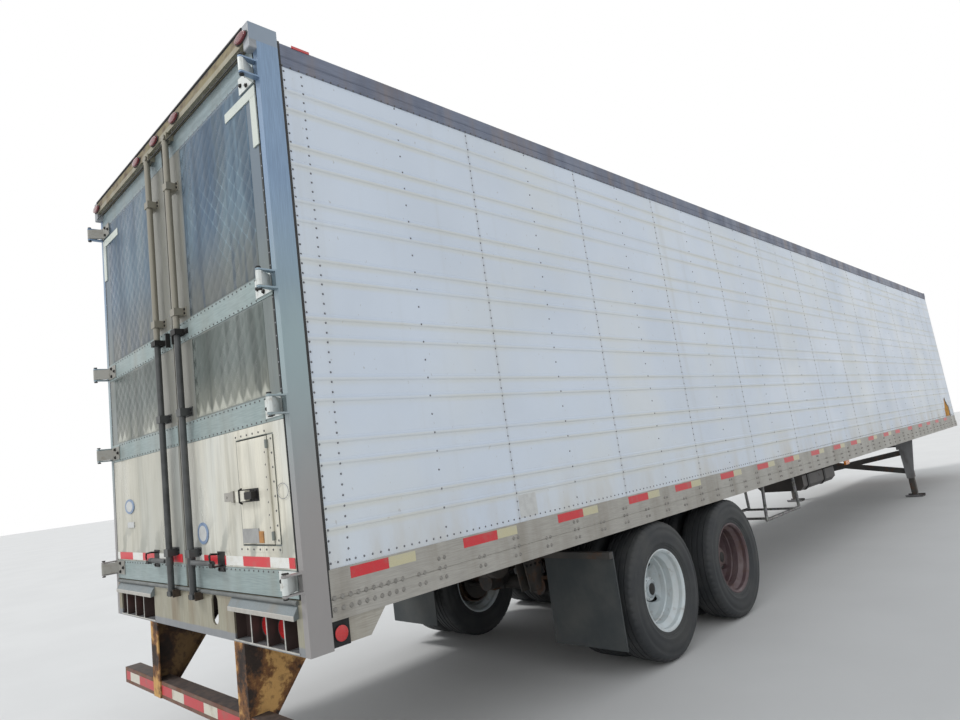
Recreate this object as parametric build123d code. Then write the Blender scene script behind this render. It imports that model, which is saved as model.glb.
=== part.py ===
from build123d import *
import math
import os

# Refrigerated box semi trailer, standing on its wheels and landing legs.
# +X points to the nose, +Y to the left side, +Z up, in millimetres.
# Every x below is counted from the rear face of the box; save() moves the
# finished piece so that the origin is on the ground under the middle.

# Body box
body_length = 16154.0
body_width = 2591.0
rail_bottom = 1022.0
rail_height = 229.0
rail_inset = 6.0
rail_skin = 6.0
wall_thick = 62.0
front_wall_thick = 95.0
floor_thick = 121.0
wall_top = 3870.0
top_rail_height = 86.0
top_rail_skirt = 53.0
roof_crown = 18.0
nose_radius = 110.0
nose_return = 150.0

# Beads pressed into the side sheets
bead_low = 1435.0
bead_pitch = 307.0
bead_pair_gap = 105.0
bead_margin = 150.0
bead_depth = 4.0
bead_width = 34.0

# Rear frame
post_depth = 122.0
post_face = 42.5
post_stop = 48.0
sill_bottom = 900.0
sill_top = 1144.0
sill_wall = 10.0
header_lift = 35.0
header_height = 95.0
header_overhang = 40.0

# Rear doors
door_thick = 75.0
door_gap = 6.0
door_middle_gap = 7.0
door_edge_taper = 6.0
band_thick = 3.0
band_height = 122.0
low_band = 1211.0
middle_band = 2032.0
high_band = 2635.0
low_hinge = 1225.0
top_hinge_drop = 160.0
pin_back = 88.0
pin_inset = 15.5
pin_radius = 8.0
pin_clearance = 0.3
knuckle_radius = 15.0
knuckle_half = 36.0
ear_thick = 8.0
ear_gap = 2.0
strap_length = 155.0
strap_thick = 6.0
rod_place = 160.0
rod_radius = 19.0
rod_back = 40.0
cam_gap = 7.0

# Vent hatch in the right door
vent_inset = 177.0
vent_width = 330.0
vent_low = 1385.0
vent_high = 1915.0
vent_gap = 6.0
vent_skin = 4.0
vent_pin_radius = 5.0

# Wheels
tyre_radius = 507.0
dual_spacing = 336.0
track = 1968.0
rear_axle = 3087.0
front_axle = 4342.0
axle_tube_radius = 63.5
hand_hole_radius = 38.0
hand_hole_circle = 200.0
hand_hole_count = 5
hand_hole_turn = 40.0

# Running gear carrier
slider_y = 480.0
slider_width = 76.0

# Landing gear and coupler
kingpin_place = body_length - 914.0
kingpin_radius = 35.7
kingpin_neck = 25.4
leg_setback = 3654.0
leg_inset = 295.5
leg_size = 110.0
foot_length = 254.0

# Refrigeration unit on the nose
unit_depth = 440.0
unit_width = 2080.0
unit_low = 1780.0
unit_drop = 40.0
unit_wall = 20.0
unit_bevel = 110.0

half_width = body_width / 2
rail_outer = half_width - rail_inset
wall_outer = rail_outer - rail_skin
wall_inner = wall_outer - wall_thick
rail_top = rail_bottom + rail_height
floor_bottom = rail_top - floor_thick
top_rail_top = wall_top + top_rail_height
header_bottom = wall_top + header_lift
header_top = header_bottom + header_height
top_hinge = header_bottom - top_hinge_drop
band_levels = [low_band, middle_band, high_band]
hinge_levels = [low_hinge, middle_band, high_band, top_hinge]
axle_places = [rear_axle, front_axle]
leg_place = body_length - leg_setback
leg_y = half_width - leg_inset
unit_high = wall_top - unit_drop
wheel_z = tyre_radius
pin_x = -pin_back
pin_y = half_width - pin_inset
rear_reach = pin_back + knuckle_radius
front_reach = body_length - rail_skin + unit_depth
x_middle = (front_reach - rear_reach) / 2


def block(x0, x1, y0, y1, z0, z1):
    """A box between two corners."""
    size = Box(x1 - x0, y1 - y0, z1 - z0, align=(Align.MIN, Align.MIN, Align.MIN))
    return size.moved(Location((x0, y0, z0)))


def prism(points, direction):
    """A closed outline of 3-D points pushed along a direction."""
    face = Face(Wire.make_polygon([Vector(*p) for p in points], close=True))
    return Solid.extrude(face, Vector(*direction))


def prism_x(yz, x0, x1):
    """An outline in y and z, pushed along x."""
    return prism([(x0, y, z) for y, z in yz], (x1 - x0, 0, 0))


def prism_y(xz, y0, y1):
    """An outline in x and z, pushed along y."""
    return prism([(x, y0, z) for x, z in xz], (0, y1 - y0, 0))


def prism_z(xy, z0, z1):
    """An outline in x and y, pushed along z."""
    return prism([(x, y, z0) for x, y in xy], (0, 0, z1 - z0))


def rod(start, end, radius):
    """A round bar between two points."""
    line = Vector(*end) - Vector(*start)
    return Solid.make_cylinder(radius, line.length, Plane(origin=start, z_dir=line.normalized()))


def ring(points, centre, direction=(0, 1, 0)):
    """An outline of (radius, y) turned about a line along y."""
    x, z = centre
    face = Face(Wire.make_polygon([Vector(x, y, z + r) for r, y in points], close=True))
    return Solid.revolve(face, 360, Axis((x, 0, z), direction))


def other_side(shape):
    """The same shape on the other side of the middle plane."""
    return mirror(shape, about=Plane.XZ)


def both(shapes):
    """The shapes and their copies on the other side."""
    return list(shapes) + [other_side(s) for s in shapes]


def fuse(shapes):
    """One piece from shapes that join."""
    whole = shapes[0]
    for shape in shapes[1:]:
        whole = whole + shape
    return whole


os.makedirs("parts", exist_ok=True)


def save(name, shapes):
    """Write one piece, moved to the trailer's own origin."""
    solids = []
    for shape in shapes if isinstance(shapes, list) else [shapes]:
        solids.extend(shape.solids())
    moved = [s.moved(Location((-x_middle, 0, 0))) for s in solids]
    export_step(moved[0] if len(moved) == 1 else Compound(children=moved), f"parts/{name}.step")


# Side walls, beaded on the outside
bead_pairs = int((wall_top - bead_margin - bead_pair_gap - bead_low) // bead_pitch) + 1


def bead_outline():
    """The wall's section in y and z, with its pairs of low beads."""
    outline = [(wall_inner, floor_bottom), (wall_outer, floor_bottom)]
    for pair in range(bead_pairs):
        for row in (0, 1):
            z = bead_low + pair * bead_pitch + row * bead_pair_gap
            outline += [(wall_outer, z - bead_width / 2),
                        (wall_outer + bead_depth, z - bead_width / 4),
                        (wall_outer + bead_depth, z + bead_width / 4),
                        (wall_outer, z + bead_width / 2)]
    outline += [(wall_outer, wall_top), (wall_inner, wall_top)]
    return outline


left_wall = prism_x(bead_outline(), post_depth, body_length - nose_return)
right_wall = other_side(left_wall)

# The torn corner: the sheet is missing and the core shows 14 mm deeper
torn_depth = 14.0
torn_start = 1094.0
torn_steps = [(0, 0), (50, 169), (130, 254), (200, 399), (340, 449), (410, 309), (560, 229), (600, 0)]
torn_outline = [(body_length - torn_start + x, rail_top + z) for x, z in torn_steps]
torn_cut = prism_y(torn_outline, -wall_outer - 20, -wall_outer + torn_depth)
right_wall = right_wall - torn_cut
save("side_wall_left", left_wall)
save("side_wall_right", right_wall)


# Nose, with rounded corners in plan
def nose_plan(inner_x, inner_y, outer_y, outer_x, height):
    """A U-shaped band round the nose, from the side returns to the front."""
    outer = block(body_length - nose_return, outer_x, -outer_y, outer_y, height[0], height[1])
    outer = fillet(outer.edges().filter_by(Axis.Z).group_by(Axis.X)[-1], nose_radius)
    inner = block(body_length - nose_return - 1, inner_x, -inner_y, inner_y, height[0] - 1, height[1] + 1)
    return outer - inner


front_inner = body_length - front_wall_thick
save("front_wall", nose_plan(front_inner, wall_inner, wall_outer, body_length - rail_skin,
                             (floor_bottom, wall_top)))
save("front_top_rail", nose_plan(front_inner, wall_inner, rail_outer, body_length,
                                 (wall_top, top_rail_top)))
save("front_bottom_rail", nose_plan(front_inner, wall_inner, rail_outer, body_length,
                                    (rail_bottom, floor_bottom)))

# Roof and floor
roof_edge = wall_top + top_rail_height - 14
save("roof", prism_x([(-wall_inner, wall_top), (wall_inner, wall_top), (wall_inner, roof_edge),
                      (wall_inner / 2, roof_edge + roof_crown * 0.75), (0, roof_edge + roof_crown),
                      (-wall_inner / 2, roof_edge + roof_crown * 0.75), (-wall_inner, roof_edge)],
                     post_depth, front_inner))
save("cargo_floor", block(post_depth, front_inner, -wall_inner, wall_inner, floor_bottom, rail_top))

# Rails along the sides
skirt_bottom = wall_top - top_rail_skirt
top_rail = prism_x([(wall_inner, wall_top), (wall_outer, wall_top), (wall_outer, skirt_bottom),
                    (rail_outer - 2, skirt_bottom), (rail_outer, skirt_bottom + 6),
                    (rail_outer, wall_top - 8), (rail_outer - 4, wall_top), (rail_outer, wall_top + 8),
                    (rail_outer, top_rail_top - 12), (rail_outer - 12, top_rail_top),
                    (wall_inner, top_rail_top)],
                   post_depth, body_length - nose_return)
save("top_rail_left", top_rail)
save("top_rail_right", other_side(top_rail))

rail_flange = 70.0
rail_web = 12.0
groove = 3.0
bottom_rail = prism_x([(rail_outer, rail_bottom), (rail_outer, rail_bottom + 92),
                       (rail_outer - groove, rail_bottom + 95), (rail_outer, rail_bottom + 98),
                       (rail_outer, rail_top - 2), (rail_outer - 2, rail_top), (wall_outer, rail_top),
                       (wall_outer, floor_bottom), (wall_inner, floor_bottom),
                       (wall_inner, floor_bottom - rail_web),
                       (wall_outer - rail_web, floor_bottom - rail_web),
                       (wall_outer - rail_web, rail_bottom + rail_web),
                       (rail_outer - rail_flange, rail_bottom + rail_web),
                       (rail_outer - rail_flange, rail_bottom)],
                      post_depth, body_length - nose_return)
save("bottom_rail_left", bottom_rail)
save("bottom_rail_right", other_side(bottom_rail))

# Crossmembers under the floor
cross_pitch = 305.0
cross_first = 427.0
cross_flange = 60.0
cross_web = 6.0
cross_half = rail_outer - rail_flange - 2
coupler_length = 1750.0
coupler_start = body_length - coupler_length


def cross_x(i):
    """The place of a crossmember, counted from the rear."""
    return cross_first + i * cross_pitch


def crossmember(x):
    """An I-beam across the body."""
    half = cross_flange / 2
    z0 = rail_bottom
    z1 = floor_bottom
    web = cross_web / 2
    section = [(x - half, z0), (x + half, z0), (x + half, z0 + 8), (x + web, z0 + 8), (x + web, z1 - 8),
               (x + half, z1 - 8), (x + half, z1), (x - half, z1), (x - half, z1 - 8), (x - web, z1 - 8),
               (x - web, z0 + 8), (x - half, z0 + 8)]
    return prism_y(section, -cross_half, cross_half)


cross_count = int((coupler_start - cross_first) // cross_pitch)
save("crossmembers", [crossmember(cross_x(i)) for i in range(cross_count)])

# Coupler: a plated box under the nose, with the kingpin
coupler_drop = 12.0
coupler_half = cross_half
plate_top = rail_bottom + coupler_drop
coupler_box = block(coupler_start, front_inner, -coupler_half, coupler_half, plate_top, floor_bottom)
cell_wall = 10.0
cells = []
cell_edges = [-coupler_half, -520.0, 0.0, 520.0, coupler_half]
cell_marks = [coupler_start, coupler_start + 420.0, kingpin_place - 150.0, kingpin_place + 150.0, front_inner]
coupler_plate = block(coupler_start, front_inner, -coupler_half, coupler_half, rail_bottom, plate_top)
pin_collar = 90.0
collar_fit = 0.5
coupler_plate = coupler_plate - rod((kingpin_place, 0, rail_bottom - 1), (kingpin_place, 0, plate_top + 1),
                                    pin_collar + collar_fit)
for x0, x1 in zip(cell_marks, cell_marks[1:]):
    for y0, y1 in zip(cell_edges, cell_edges[1:]):
        if x0 > kingpin_place - 200 and x1 < kingpin_place + 200 and abs(y0 + y1) < 600:
            continue
        cells.append(block(x0 + cell_wall, x1 - cell_wall, y0 + cell_wall, y1 - cell_wall,
                           plate_top, floor_bottom - cell_wall))
for cell in cells:
    coupler_box = coupler_box - cell
pin_bay = 140.0
collar_height = 60.0
coupler_box = coupler_box - block(kingpin_place - pin_bay, kingpin_place + pin_bay, -pin_bay, pin_bay,
                                  plate_top, plate_top + collar_height)
save("coupler_box", coupler_box)
save("coupler_plate", coupler_plate)
king_steps = [(kingpin_radius, 12.0), (kingpin_neck, 35.0), (kingpin_radius, 37.0)]
king = rod((kingpin_place, 0, plate_top + collar_height), (kingpin_place, 0, rail_bottom), pin_collar)
king_z = rail_bottom
for radius, length in king_steps:
    king = king + rod((kingpin_place, 0, king_z + 1), (kingpin_place, 0, king_z - length), radius)
    king_z -= length
save("kingpin", king)

# Rear frame: posts with their hinge brackets, header and sill
frame_stop = door_thick + door_gap
opening_half = half_width - post_face
stop_half = opening_half - post_stop
bracket_inner = opening_half + 5


def hinge_bracket(z):
    """Two ears on a base plate, with the pin they hold."""
    low = z - knuckle_half - ear_gap - ear_thick
    high = z + knuckle_half + ear_gap + ear_thick
    ear_plan = [(0, bracket_inner), (-ear_thick, bracket_inner), (pin_x, pin_y - knuckle_radius),
                (pin_x, pin_y + knuckle_radius), (0, pin_y + knuckle_radius)]
    pieces = [block(-ear_thick, 0, bracket_inner, pin_y + knuckle_radius, low, high)]
    for z0 in (low, high - ear_thick):
        pieces.append(prism_z(ear_plan, z0, z0 + ear_thick))
        pieces.append(rod((pin_x, pin_y, z0), (pin_x, pin_y, z0 + ear_thick), knuckle_radius))
    pieces.append(rod((pin_x, pin_y, low - 6), (pin_x, pin_y, high + 6), pin_radius))
    return fuse(pieces)


post_plan = [(0, opening_half), (frame_stop, opening_half), (frame_stop, stop_half), (post_depth, stop_half),
             (post_depth, half_width), (0, half_width)]
post = prism_z(post_plan, sill_top, header_bottom)
post = post + block(0, post_depth, opening_half, half_width, sill_bottom, sill_top)
post = fuse([post] + [hinge_bracket(z) for z in hinge_levels])
save("rear_post_left", post)
save("rear_post_right", other_side(post))

keeper_wall = 10.0
cam_half = 24.0
keeper_inner = cam_half + cam_gap


def keeper(z0, z1):
    """Two lugs that flank a lock rod's cam."""
    inner = rod_place - keeper_inner - keeper_wall
    outer = rod_place + keeper_inner
    lugs = [block(-rod_back - 8, 0, inner, inner + keeper_wall, z0, z1),
            block(-rod_back - 8, 0, outer, outer + keeper_wall, z0, z1)]
    return lugs


header = block(-header_overhang, post_depth, -half_width, half_width, header_bottom, header_top)
header = header + block(frame_stop, post_depth, -stop_half, stop_half,
                        header_bottom - post_stop, header_bottom)
save("rear_header", fuse([header] + both(keeper(header_bottom - 42, header_bottom + 4))))

sill_outline = [(0, sill_bottom), (post_depth, sill_bottom), (post_depth, sill_bottom + sill_wall),
                (sill_wall, sill_bottom + sill_wall), (sill_wall, sill_top - sill_wall),
                (post_depth, sill_top - sill_wall), (post_depth, sill_top), (0, sill_top)]
sill = prism_y(sill_outline, -opening_half, opening_half)
sill = sill + block(frame_stop, post_depth, -stop_half, stop_half, sill_top, rail_top)
slot_width = 78.0
slot_y = -340.0
slot_low = 962.0
slot_high = 1122.0
slot = block(-5, sill_wall + 5, slot_y - slot_width / 2, slot_y + slot_width / 2, slot_low, slot_high)
sill = sill - fillet(slot.edges().filter_by(Axis.X), slot_width / 2 - 1)

# Tail light boxes sunk in the sill, with dividers, a hood above and a lamp in each middle cell
box_outer = opening_half - 47
box_inner = box_outer - 646
box_low = sill_bottom + sill_wall
box_high = 1064.0
box_deep = 70.0
box_wall = 6.0
divider_ys = [box_outer - 449, box_outer - 291, box_outer - 121]
divider_thick = 6.0
lamp_ys = [box_outer - 386, box_outer - 221]
lamp_radius = 56.0
lamp_depth = 14.0
lamp_z = (box_low + box_high) / 2
hood_reach = 28.0
hood_rise = 56.0
hood_lip = 14.0
opening = block(-1, sill_wall + 1, box_inner + box_wall, box_outer - box_wall, box_low, box_high - box_wall)
sill = sill - opening - other_side(opening)
save("rear_sill", fuse([sill] + both(keeper(sill_top - 56, sill_top - 12))))
light_box = block(sill_wall, box_deep, box_inner, box_outer, box_low, box_high)
light_box = light_box - block(sill_wall - 1, box_deep - box_wall, box_inner + box_wall, box_outer - box_wall,
                              box_low - 1, box_high - box_wall)
hood_low = box_high - box_wall
hood_outline = [(0, box_high + hood_rise), (-hood_reach, box_high + hood_lip), (-hood_reach, hood_low),
                (-hood_reach + 5, hood_low), (0, box_high)]
hood = prism_y(hood_outline, box_inner - 6, box_outer + 14)
dividers = [block(-2, box_deep - box_wall + 1, y - divider_thick / 2, y + divider_thick / 2,
                  box_low, box_high - box_wall) for y in divider_ys]
light_box = fuse([light_box] + dividers)
save("light_boxes", both([light_box, hood]))
lamp_back = box_deep - box_wall
save("tail_lamps", both([rod((lamp_back, y, lamp_z), (lamp_back - lamp_depth, y, lamp_z), lamp_radius)
                         for y in lamp_ys]))

# Marker lamps on the header
marker_half = 46.0
marker_outer = half_width - 70.5
marker_places = [-marker_outer, -330.0, 0.0, 330.0, marker_outer]
marker_z = header_bottom + header_height / 2
save("marker_lamps", [block(-header_overhang - 16, -header_overhang, y - marker_half, y + marker_half,
                            marker_z - 17, marker_z + 17) for y in marker_places])

# Gusset plates and side lamps under the rails behind the posts
side_box_end = post_depth + 100
gusset_low = sill_bottom + 10
gusset_plan = [(side_box_end, rail_bottom), (side_box_end + 225, rail_bottom),
               (side_box_end + 123, gusset_low), (side_box_end, gusset_low)]
side_box = block(post_depth, side_box_end, rail_outer - 56, rail_outer - 6, sill_bottom + 7, rail_bottom)
gusset = prism_y(gusset_plan, rail_outer - 22, rail_outer - 12)
side_lamp_x = post_depth + 50
side_lamp_z = sill_bottom + 64
side_lamp = rod((side_lamp_x, rail_outer - 7, side_lamp_z), (side_lamp_x, rail_outer, side_lamp_z), 38.0)
side_corner = fuse([side_box, gusset, side_lamp])
save("side_lamp_left", side_corner)
save("side_lamp_right", other_side(side_corner))

# Rear impact guard: two tapered channels whose rear flanges lap over the bar
bar_half = half_width - 75.5
bar_size = 100.0
bar_low = 443.0
bar_top = bar_low + bar_size
guard_web = 660.0
guard_flange = 114.0
guard_lip = 44.0
guard_wall = 8.0
guard_foot = 40.0
guard_spread = 486.0
guard_head = 508.0
bar_front = guard_wall + bar_size
foot = (bar_front + 25, bar_low + guard_foot)
spread = (guard_spread, sill_bottom)
web_outline = [(0, sill_bottom), (0, bar_low), (guard_wall, bar_low), (guard_wall, bar_top),
               (bar_front, bar_top), (bar_front, foot[1]), foot, spread, (guard_head, rail_bottom),
               (post_depth, rail_bottom), (post_depth, sill_bottom)]
edge = math.hypot(spread[0] - foot[0], spread[1] - foot[1])
turn = (-(spread[1] - foot[1]) / edge * guard_wall, (spread[0] - foot[0]) / edge * guard_wall)
lip_outline = [foot, spread, (spread[0] + turn[0], spread[1] + turn[1]),
               (foot[0] + turn[0], foot[1] + turn[1])]
guard = fuse([prism_y(web_outline, guard_web - guard_wall, guard_web),
              block(0, guard_wall, guard_web - guard_flange, guard_web, bar_low, sill_bottom),
              prism_y(lip_outline, guard_web - guard_lip, guard_web)])
save("guard_posts", both([guard]))
bar = block(guard_wall, bar_front, -bar_half, bar_half, bar_low, bar_top)
bar = bar - block(guard_wall * 2, bar_size, -bar_half - 1, bar_half + 1,
                  bar_low + guard_wall, bar_top - guard_wall)
save("guard_bar", bar)

# Doors
door_low = sill_top + door_gap
door_high = header_bottom - door_gap
door_outer = opening_half - door_gap
door_face = -band_thick
door_plan = [(0, door_middle_gap), (door_thick, door_middle_gap + door_edge_taper), (door_thick, door_outer),
             (0, door_outer)]
left_door = prism_z(door_plan, door_low, door_high)
right_door = other_side(left_door)
vent_outer = -door_outer + vent_inset
vent_inner = vent_outer + vent_width
right_door = right_door - block(-1, door_thick + 1, vent_outer, vent_inner, vent_low, vent_high)
vent_pin_y = vent_outer - 2
vent_pin_x = -vent_skin - vent_pin_radius - 2
vent_knuckle = vent_pin_radius + 3
vent_z0 = vent_low + vent_gap
vent_z1 = vent_high - vent_gap
vent_leaf_end = 20.0
vent_leaf = 40.0
hinge_strip = block(-vent_skin, 0, vent_outer - 55, vent_outer - 9, vent_z0, vent_z1)
leaf_foot = vent_z0 + vent_leaf_end
leaf_head = vent_z1 - vent_leaf_end
pieces = [right_door, hinge_strip,
          rod((vent_pin_x, vent_pin_y, leaf_foot), (vent_pin_x, vent_pin_y, leaf_head), vent_pin_radius)]
for z in (leaf_foot, leaf_head - vent_leaf):
    pieces.append(rod((vent_pin_x, vent_pin_y, z), (vent_pin_x, vent_pin_y, z + vent_leaf), vent_knuckle))
    pieces.append(block(vent_pin_x - 4, 0, vent_pin_y - 11, vent_pin_y - 6, z, z + vent_leaf))
right_door = fuse(pieces)
save("door_left", left_door)
save("door_right", right_door)

strap_outer = door_outer - 2
strap_half = knuckle_half + ear_gap + ear_thick


def door_hardware():
    """Bands across the door with the hinge straps and knuckles on them."""
    pieces = []
    for z in band_levels:
        low = max(door_low, z - band_height / 2)
        pieces.append(block(door_face, 0, door_middle_gap + 7, door_outer - 4, low, z + band_height / 2))
    back = door_face - strap_thick
    link_plan = [(back, strap_outer - 2), (back, strap_outer - 23), (pin_x - 6, pin_y - 14),
                 (pin_x + 10, pin_y + 11)]
    for z in hinge_levels:
        front = 0 if z == hinge_levels[-1] else door_face
        pieces.append(block(back, front, strap_outer - strap_length, strap_outer,
                            z - strap_half, z + strap_half))
        pieces.append(prism_z(link_plan, z - knuckle_half, z + knuckle_half))
        pieces.append(rod((pin_x, pin_y, z - knuckle_half), (pin_x, pin_y, z + knuckle_half), knuckle_radius))
    whole = fuse(pieces)
    for z in hinge_levels:
        whole = whole - rod((pin_x, pin_y, z - 60), (pin_x, pin_y, z + 60), pin_radius + pin_clearance)
    return whole


hardware = door_hardware()
save("hinge_bands_left", hardware)
save("hinge_bands_right", other_side(hardware))

rod_x = -rod_back
guide_levels = [low_band + 134, middle_band + 118, high_band + 120, header_bottom - 345]
guide_half = 22.0
cam_height = 28.0
handle_z = 1297.0
handle_length = 300.0
handle_half = 13.0
handle_hub_half = 26.0
rod_low = sill_top - 50
rod_high = header_bottom - 8


def lock_rod():
    """The rod with its end cams and handle, and the guides that carry it."""
    bar_piece = rod((rod_x, rod_place, rod_low), (rod_x, rod_place, rod_high), rod_radius)
    for z in (rod_low, rod_high - cam_height):
        bar_piece = bar_piece + block(rod_x - rod_radius + 1, -6, rod_place - cam_half, rod_place + cam_half,
                                      z, z + cam_height)
    handle = block(rod_x - 16, rod_x - 4, rod_place, rod_place + handle_length,
                   handle_z - handle_half, handle_z + handle_half)
    hub = rod((rod_x, rod_place, handle_z - handle_hub_half), (rod_x, rod_place, handle_z + handle_hub_half),
              rod_radius + 3)
    pieces = [fuse([bar_piece, hub, handle])]
    for z in guide_levels:
        guide = block(rod_x - rod_radius - 3, 0, rod_place - 30, rod_place + 30,
                      z - guide_half, z + guide_half)
        bore = rod((rod_x, rod_place, z - 40), (rod_x, rod_place, z + 40), rod_radius + pin_clearance)
        pieces.append(guide - bore)
    return pieces


rods = lock_rod()
save("lock_rod_left", rods)
save("lock_rod_right", [other_side(s) for s in rods])

# Vent hatch: a plug in the door, hinged on its outer edge
plug_outer = vent_outer + vent_gap
plug_inner = vent_inner - vent_gap
plug_back = door_thick - 5
plug_taper = 12.0
vent_plan = [(-vent_skin, plug_outer), (plug_back, plug_outer), (plug_back, plug_inner - plug_taper),
             (0, plug_inner), (-vent_skin, plug_inner)]
vent = prism_z(vent_plan, vent_z0, vent_z1)
leaf_low = leaf_foot + vent_leaf + ear_gap
leaf_high = leaf_head - vent_leaf - ear_gap
vent = fuse([vent, block(-vent_skin - 5, -vent_skin, plug_outer, plug_outer + 26, leaf_low, leaf_high),
             block(vent_pin_x - 4, vent_pin_x + 4, vent_pin_y, plug_outer + 3, leaf_low, leaf_high),
             rod((vent_pin_x, vent_pin_y, leaf_low), (vent_pin_x, vent_pin_y, leaf_high), vent_knuckle)])
vent = vent - rod((vent_pin_x, vent_pin_y, vent_low), (vent_pin_x, vent_pin_y, vent_high),
                  vent_pin_radius + pin_clearance)
latch_z = 1632.0
latch = block(-34, -vent_skin, vent_inner - 120, vent_inner - 12, latch_z - 26, latch_z + 26)
save("vent_hatch", fuse([vent, latch]))

# Wheels: twin tyres on two dished rims, with the hub and brake drum
dual_half = dual_spacing / 2
disc_thick = 10.0
pilot = 110.0
spindle_radius = 45.0
spindle_end = 100.0
bead_seat = 284.0

# Sections as (radius, distance outward from the middle between the twin tyres)
tyre_side = [(bead_seat + 0.3, 98), (330, 128), (tyre_radius - 107, 142), (tyre_radius - 39, 134),
             (tyre_radius - 10, 112), (tyre_radius, 88)]
tyre_section = [(r, -s) for r, s in tyre_side] + tyre_side[::-1]
rim_section = [(298, 52), (290, 62), (284, 70), (284, 100), (256, 122), (256, 200), (284, 236), (284, 266),
               (290, 274), (298, 284), (288, 284), (276, 270), (276, 240), (248, 206), (248, 152), (241, 146),
               (238, 108), (209, 34), (182, disc_thick), (pilot, disc_thick), (pilot, 0), (186, 0), (217, 24),
               (246, 96), (250, 114), (276, 92), (276, 64), (288, 52)]
hub_bore = spindle_radius + 0.3
hub_pilot = pilot - 0.4
hub_section = [(hub_bore, -150), (75, -150), (75, -40), (165, -20), (165, -10), (hub_pilot, -10),
               (hub_pilot, 30), (86, 44), (86, 150), (70, 162), (0, 162), (0, 140), (hub_bore, 140)]
drum_section = [(150, -20), (209, -20), (209, -225), (199, -225), (199, -30), (150, -30)]


def wheel(x, shapes):
    """Sections placed about the wheel's axle line, on the left side."""
    pieces = []
    for section, flip, shift in shapes:
        points = [(r, track / 2 + flip * (s + shift)) for r, s in section]
        pieces.append(ring(points, (x, wheel_z)))
    return pieces


def hand_holes(x):
    """Round bars that cut the discs' hand holes."""
    bars = []
    for k in range(hand_hole_count):
        angle = math.radians(hand_hole_turn + 360.0 / hand_hole_count * k)
        side = x + hand_hole_circle * math.cos(angle)
        up = wheel_z + hand_hole_circle * math.sin(angle)
        bars.append(rod((side, track / 2 - 140, up), (side, track / 2 + 140, up), hand_hole_radius))
    return bars


for place, x in zip(("rear", "front"), axle_places):
    tyres = wheel(x, [(tyre_section, 1, dual_half), (tyre_section, -1, dual_half)])
    rims = wheel(x, [(rim_section, 1, 0), (rim_section, -1, 0)])
    for bar in hand_holes(x):
        rims = [rim - bar for rim in rims]
    rims.append(fuse(wheel(x, [(hub_section, 1, 0), (drum_section, 1, 0)])))
    save(f"tyres_{place}_left", tyres)
    save(f"tyres_{place}_right", [other_side(s) for s in tyres])
    save(f"wheels_{place}_left", rims)
    save(f"wheels_{place}_right", [other_side(s) for s in rims])

# Axles, with their spindles, spring seats, brake plates and brake chambers
spring_width = 75.0
seat_top = wheel_z + axle_tube_radius + 30
brake_y = track / 2 - 240
chamber_y = 300.0
chamber_radius = 78.0
cam_back = 110.0
cam_z = wheel_z - 20
chamber_z = wheel_z + 60
spindle_tip = track / 2 + spindle_end
for place, x in zip(("rear", "front"), axle_places):
    pieces = [rod((x, -brake_y, wheel_z), (x, brake_y, wheel_z), axle_tube_radius)]
    cam_x = x - cam_back
    pieces += both([rod((x, brake_y - 5, wheel_z), (x, spindle_tip, wheel_z), spindle_radius),
                    rod((x, brake_y - 14, wheel_z), (x, brake_y, wheel_z), 175),
                    block(x - 80, x + 80, slider_y - 55, slider_y + 55, wheel_z, seat_top),
                    rod((x - 330, chamber_y, chamber_z), (x - 170, chamber_y, chamber_z), chamber_radius),
                    block(x - 175, x - 40, chamber_y - 30, chamber_y + 30, wheel_z + 5, wheel_z + 115),
                    rod((cam_x, chamber_y, cam_z), (cam_x, brake_y - 5, cam_z), 16),
                    block(cam_x - 12, cam_x + 12, chamber_y - 22, chamber_y + 22, cam_z - 20, cam_z + 40)])
    save(f"axle_{place}", fuse(pieces))

# Leaf springs over the axle seats
spring_reach = 545.0
spring_rise = 66.0
spring_thick = 42.0
springs = []
spring_steps = [(-spring_reach, spring_rise, spring_rise + 22),
                (-spring_reach / 2, spring_rise * 0.3, spring_thick + 12), (-80.0, 0.0, spring_thick),
                (80.0, 0.0, spring_thick), (spring_reach / 2, spring_rise * 0.3, spring_thick + 12),
                (spring_reach, spring_rise, spring_rise + 22)]
for x in axle_places:
    low = [(x + along, seat_top + under) for along, under, over in spring_steps]
    high = [(x + along, seat_top + over) for along, under, over in spring_steps]
    springs += both([prism_y(low + high[::-1], slider_y - spring_width / 2, slider_y + spring_width / 2)])
save("leaf_springs", springs)

# Mud flap sizes
flap_x = 2450.0
flap_thick = 10.0
flap_inner = 665.0
flap_outer = half_width - 20.5
flap_low = 235.0
flap_high = 905.0

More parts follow.
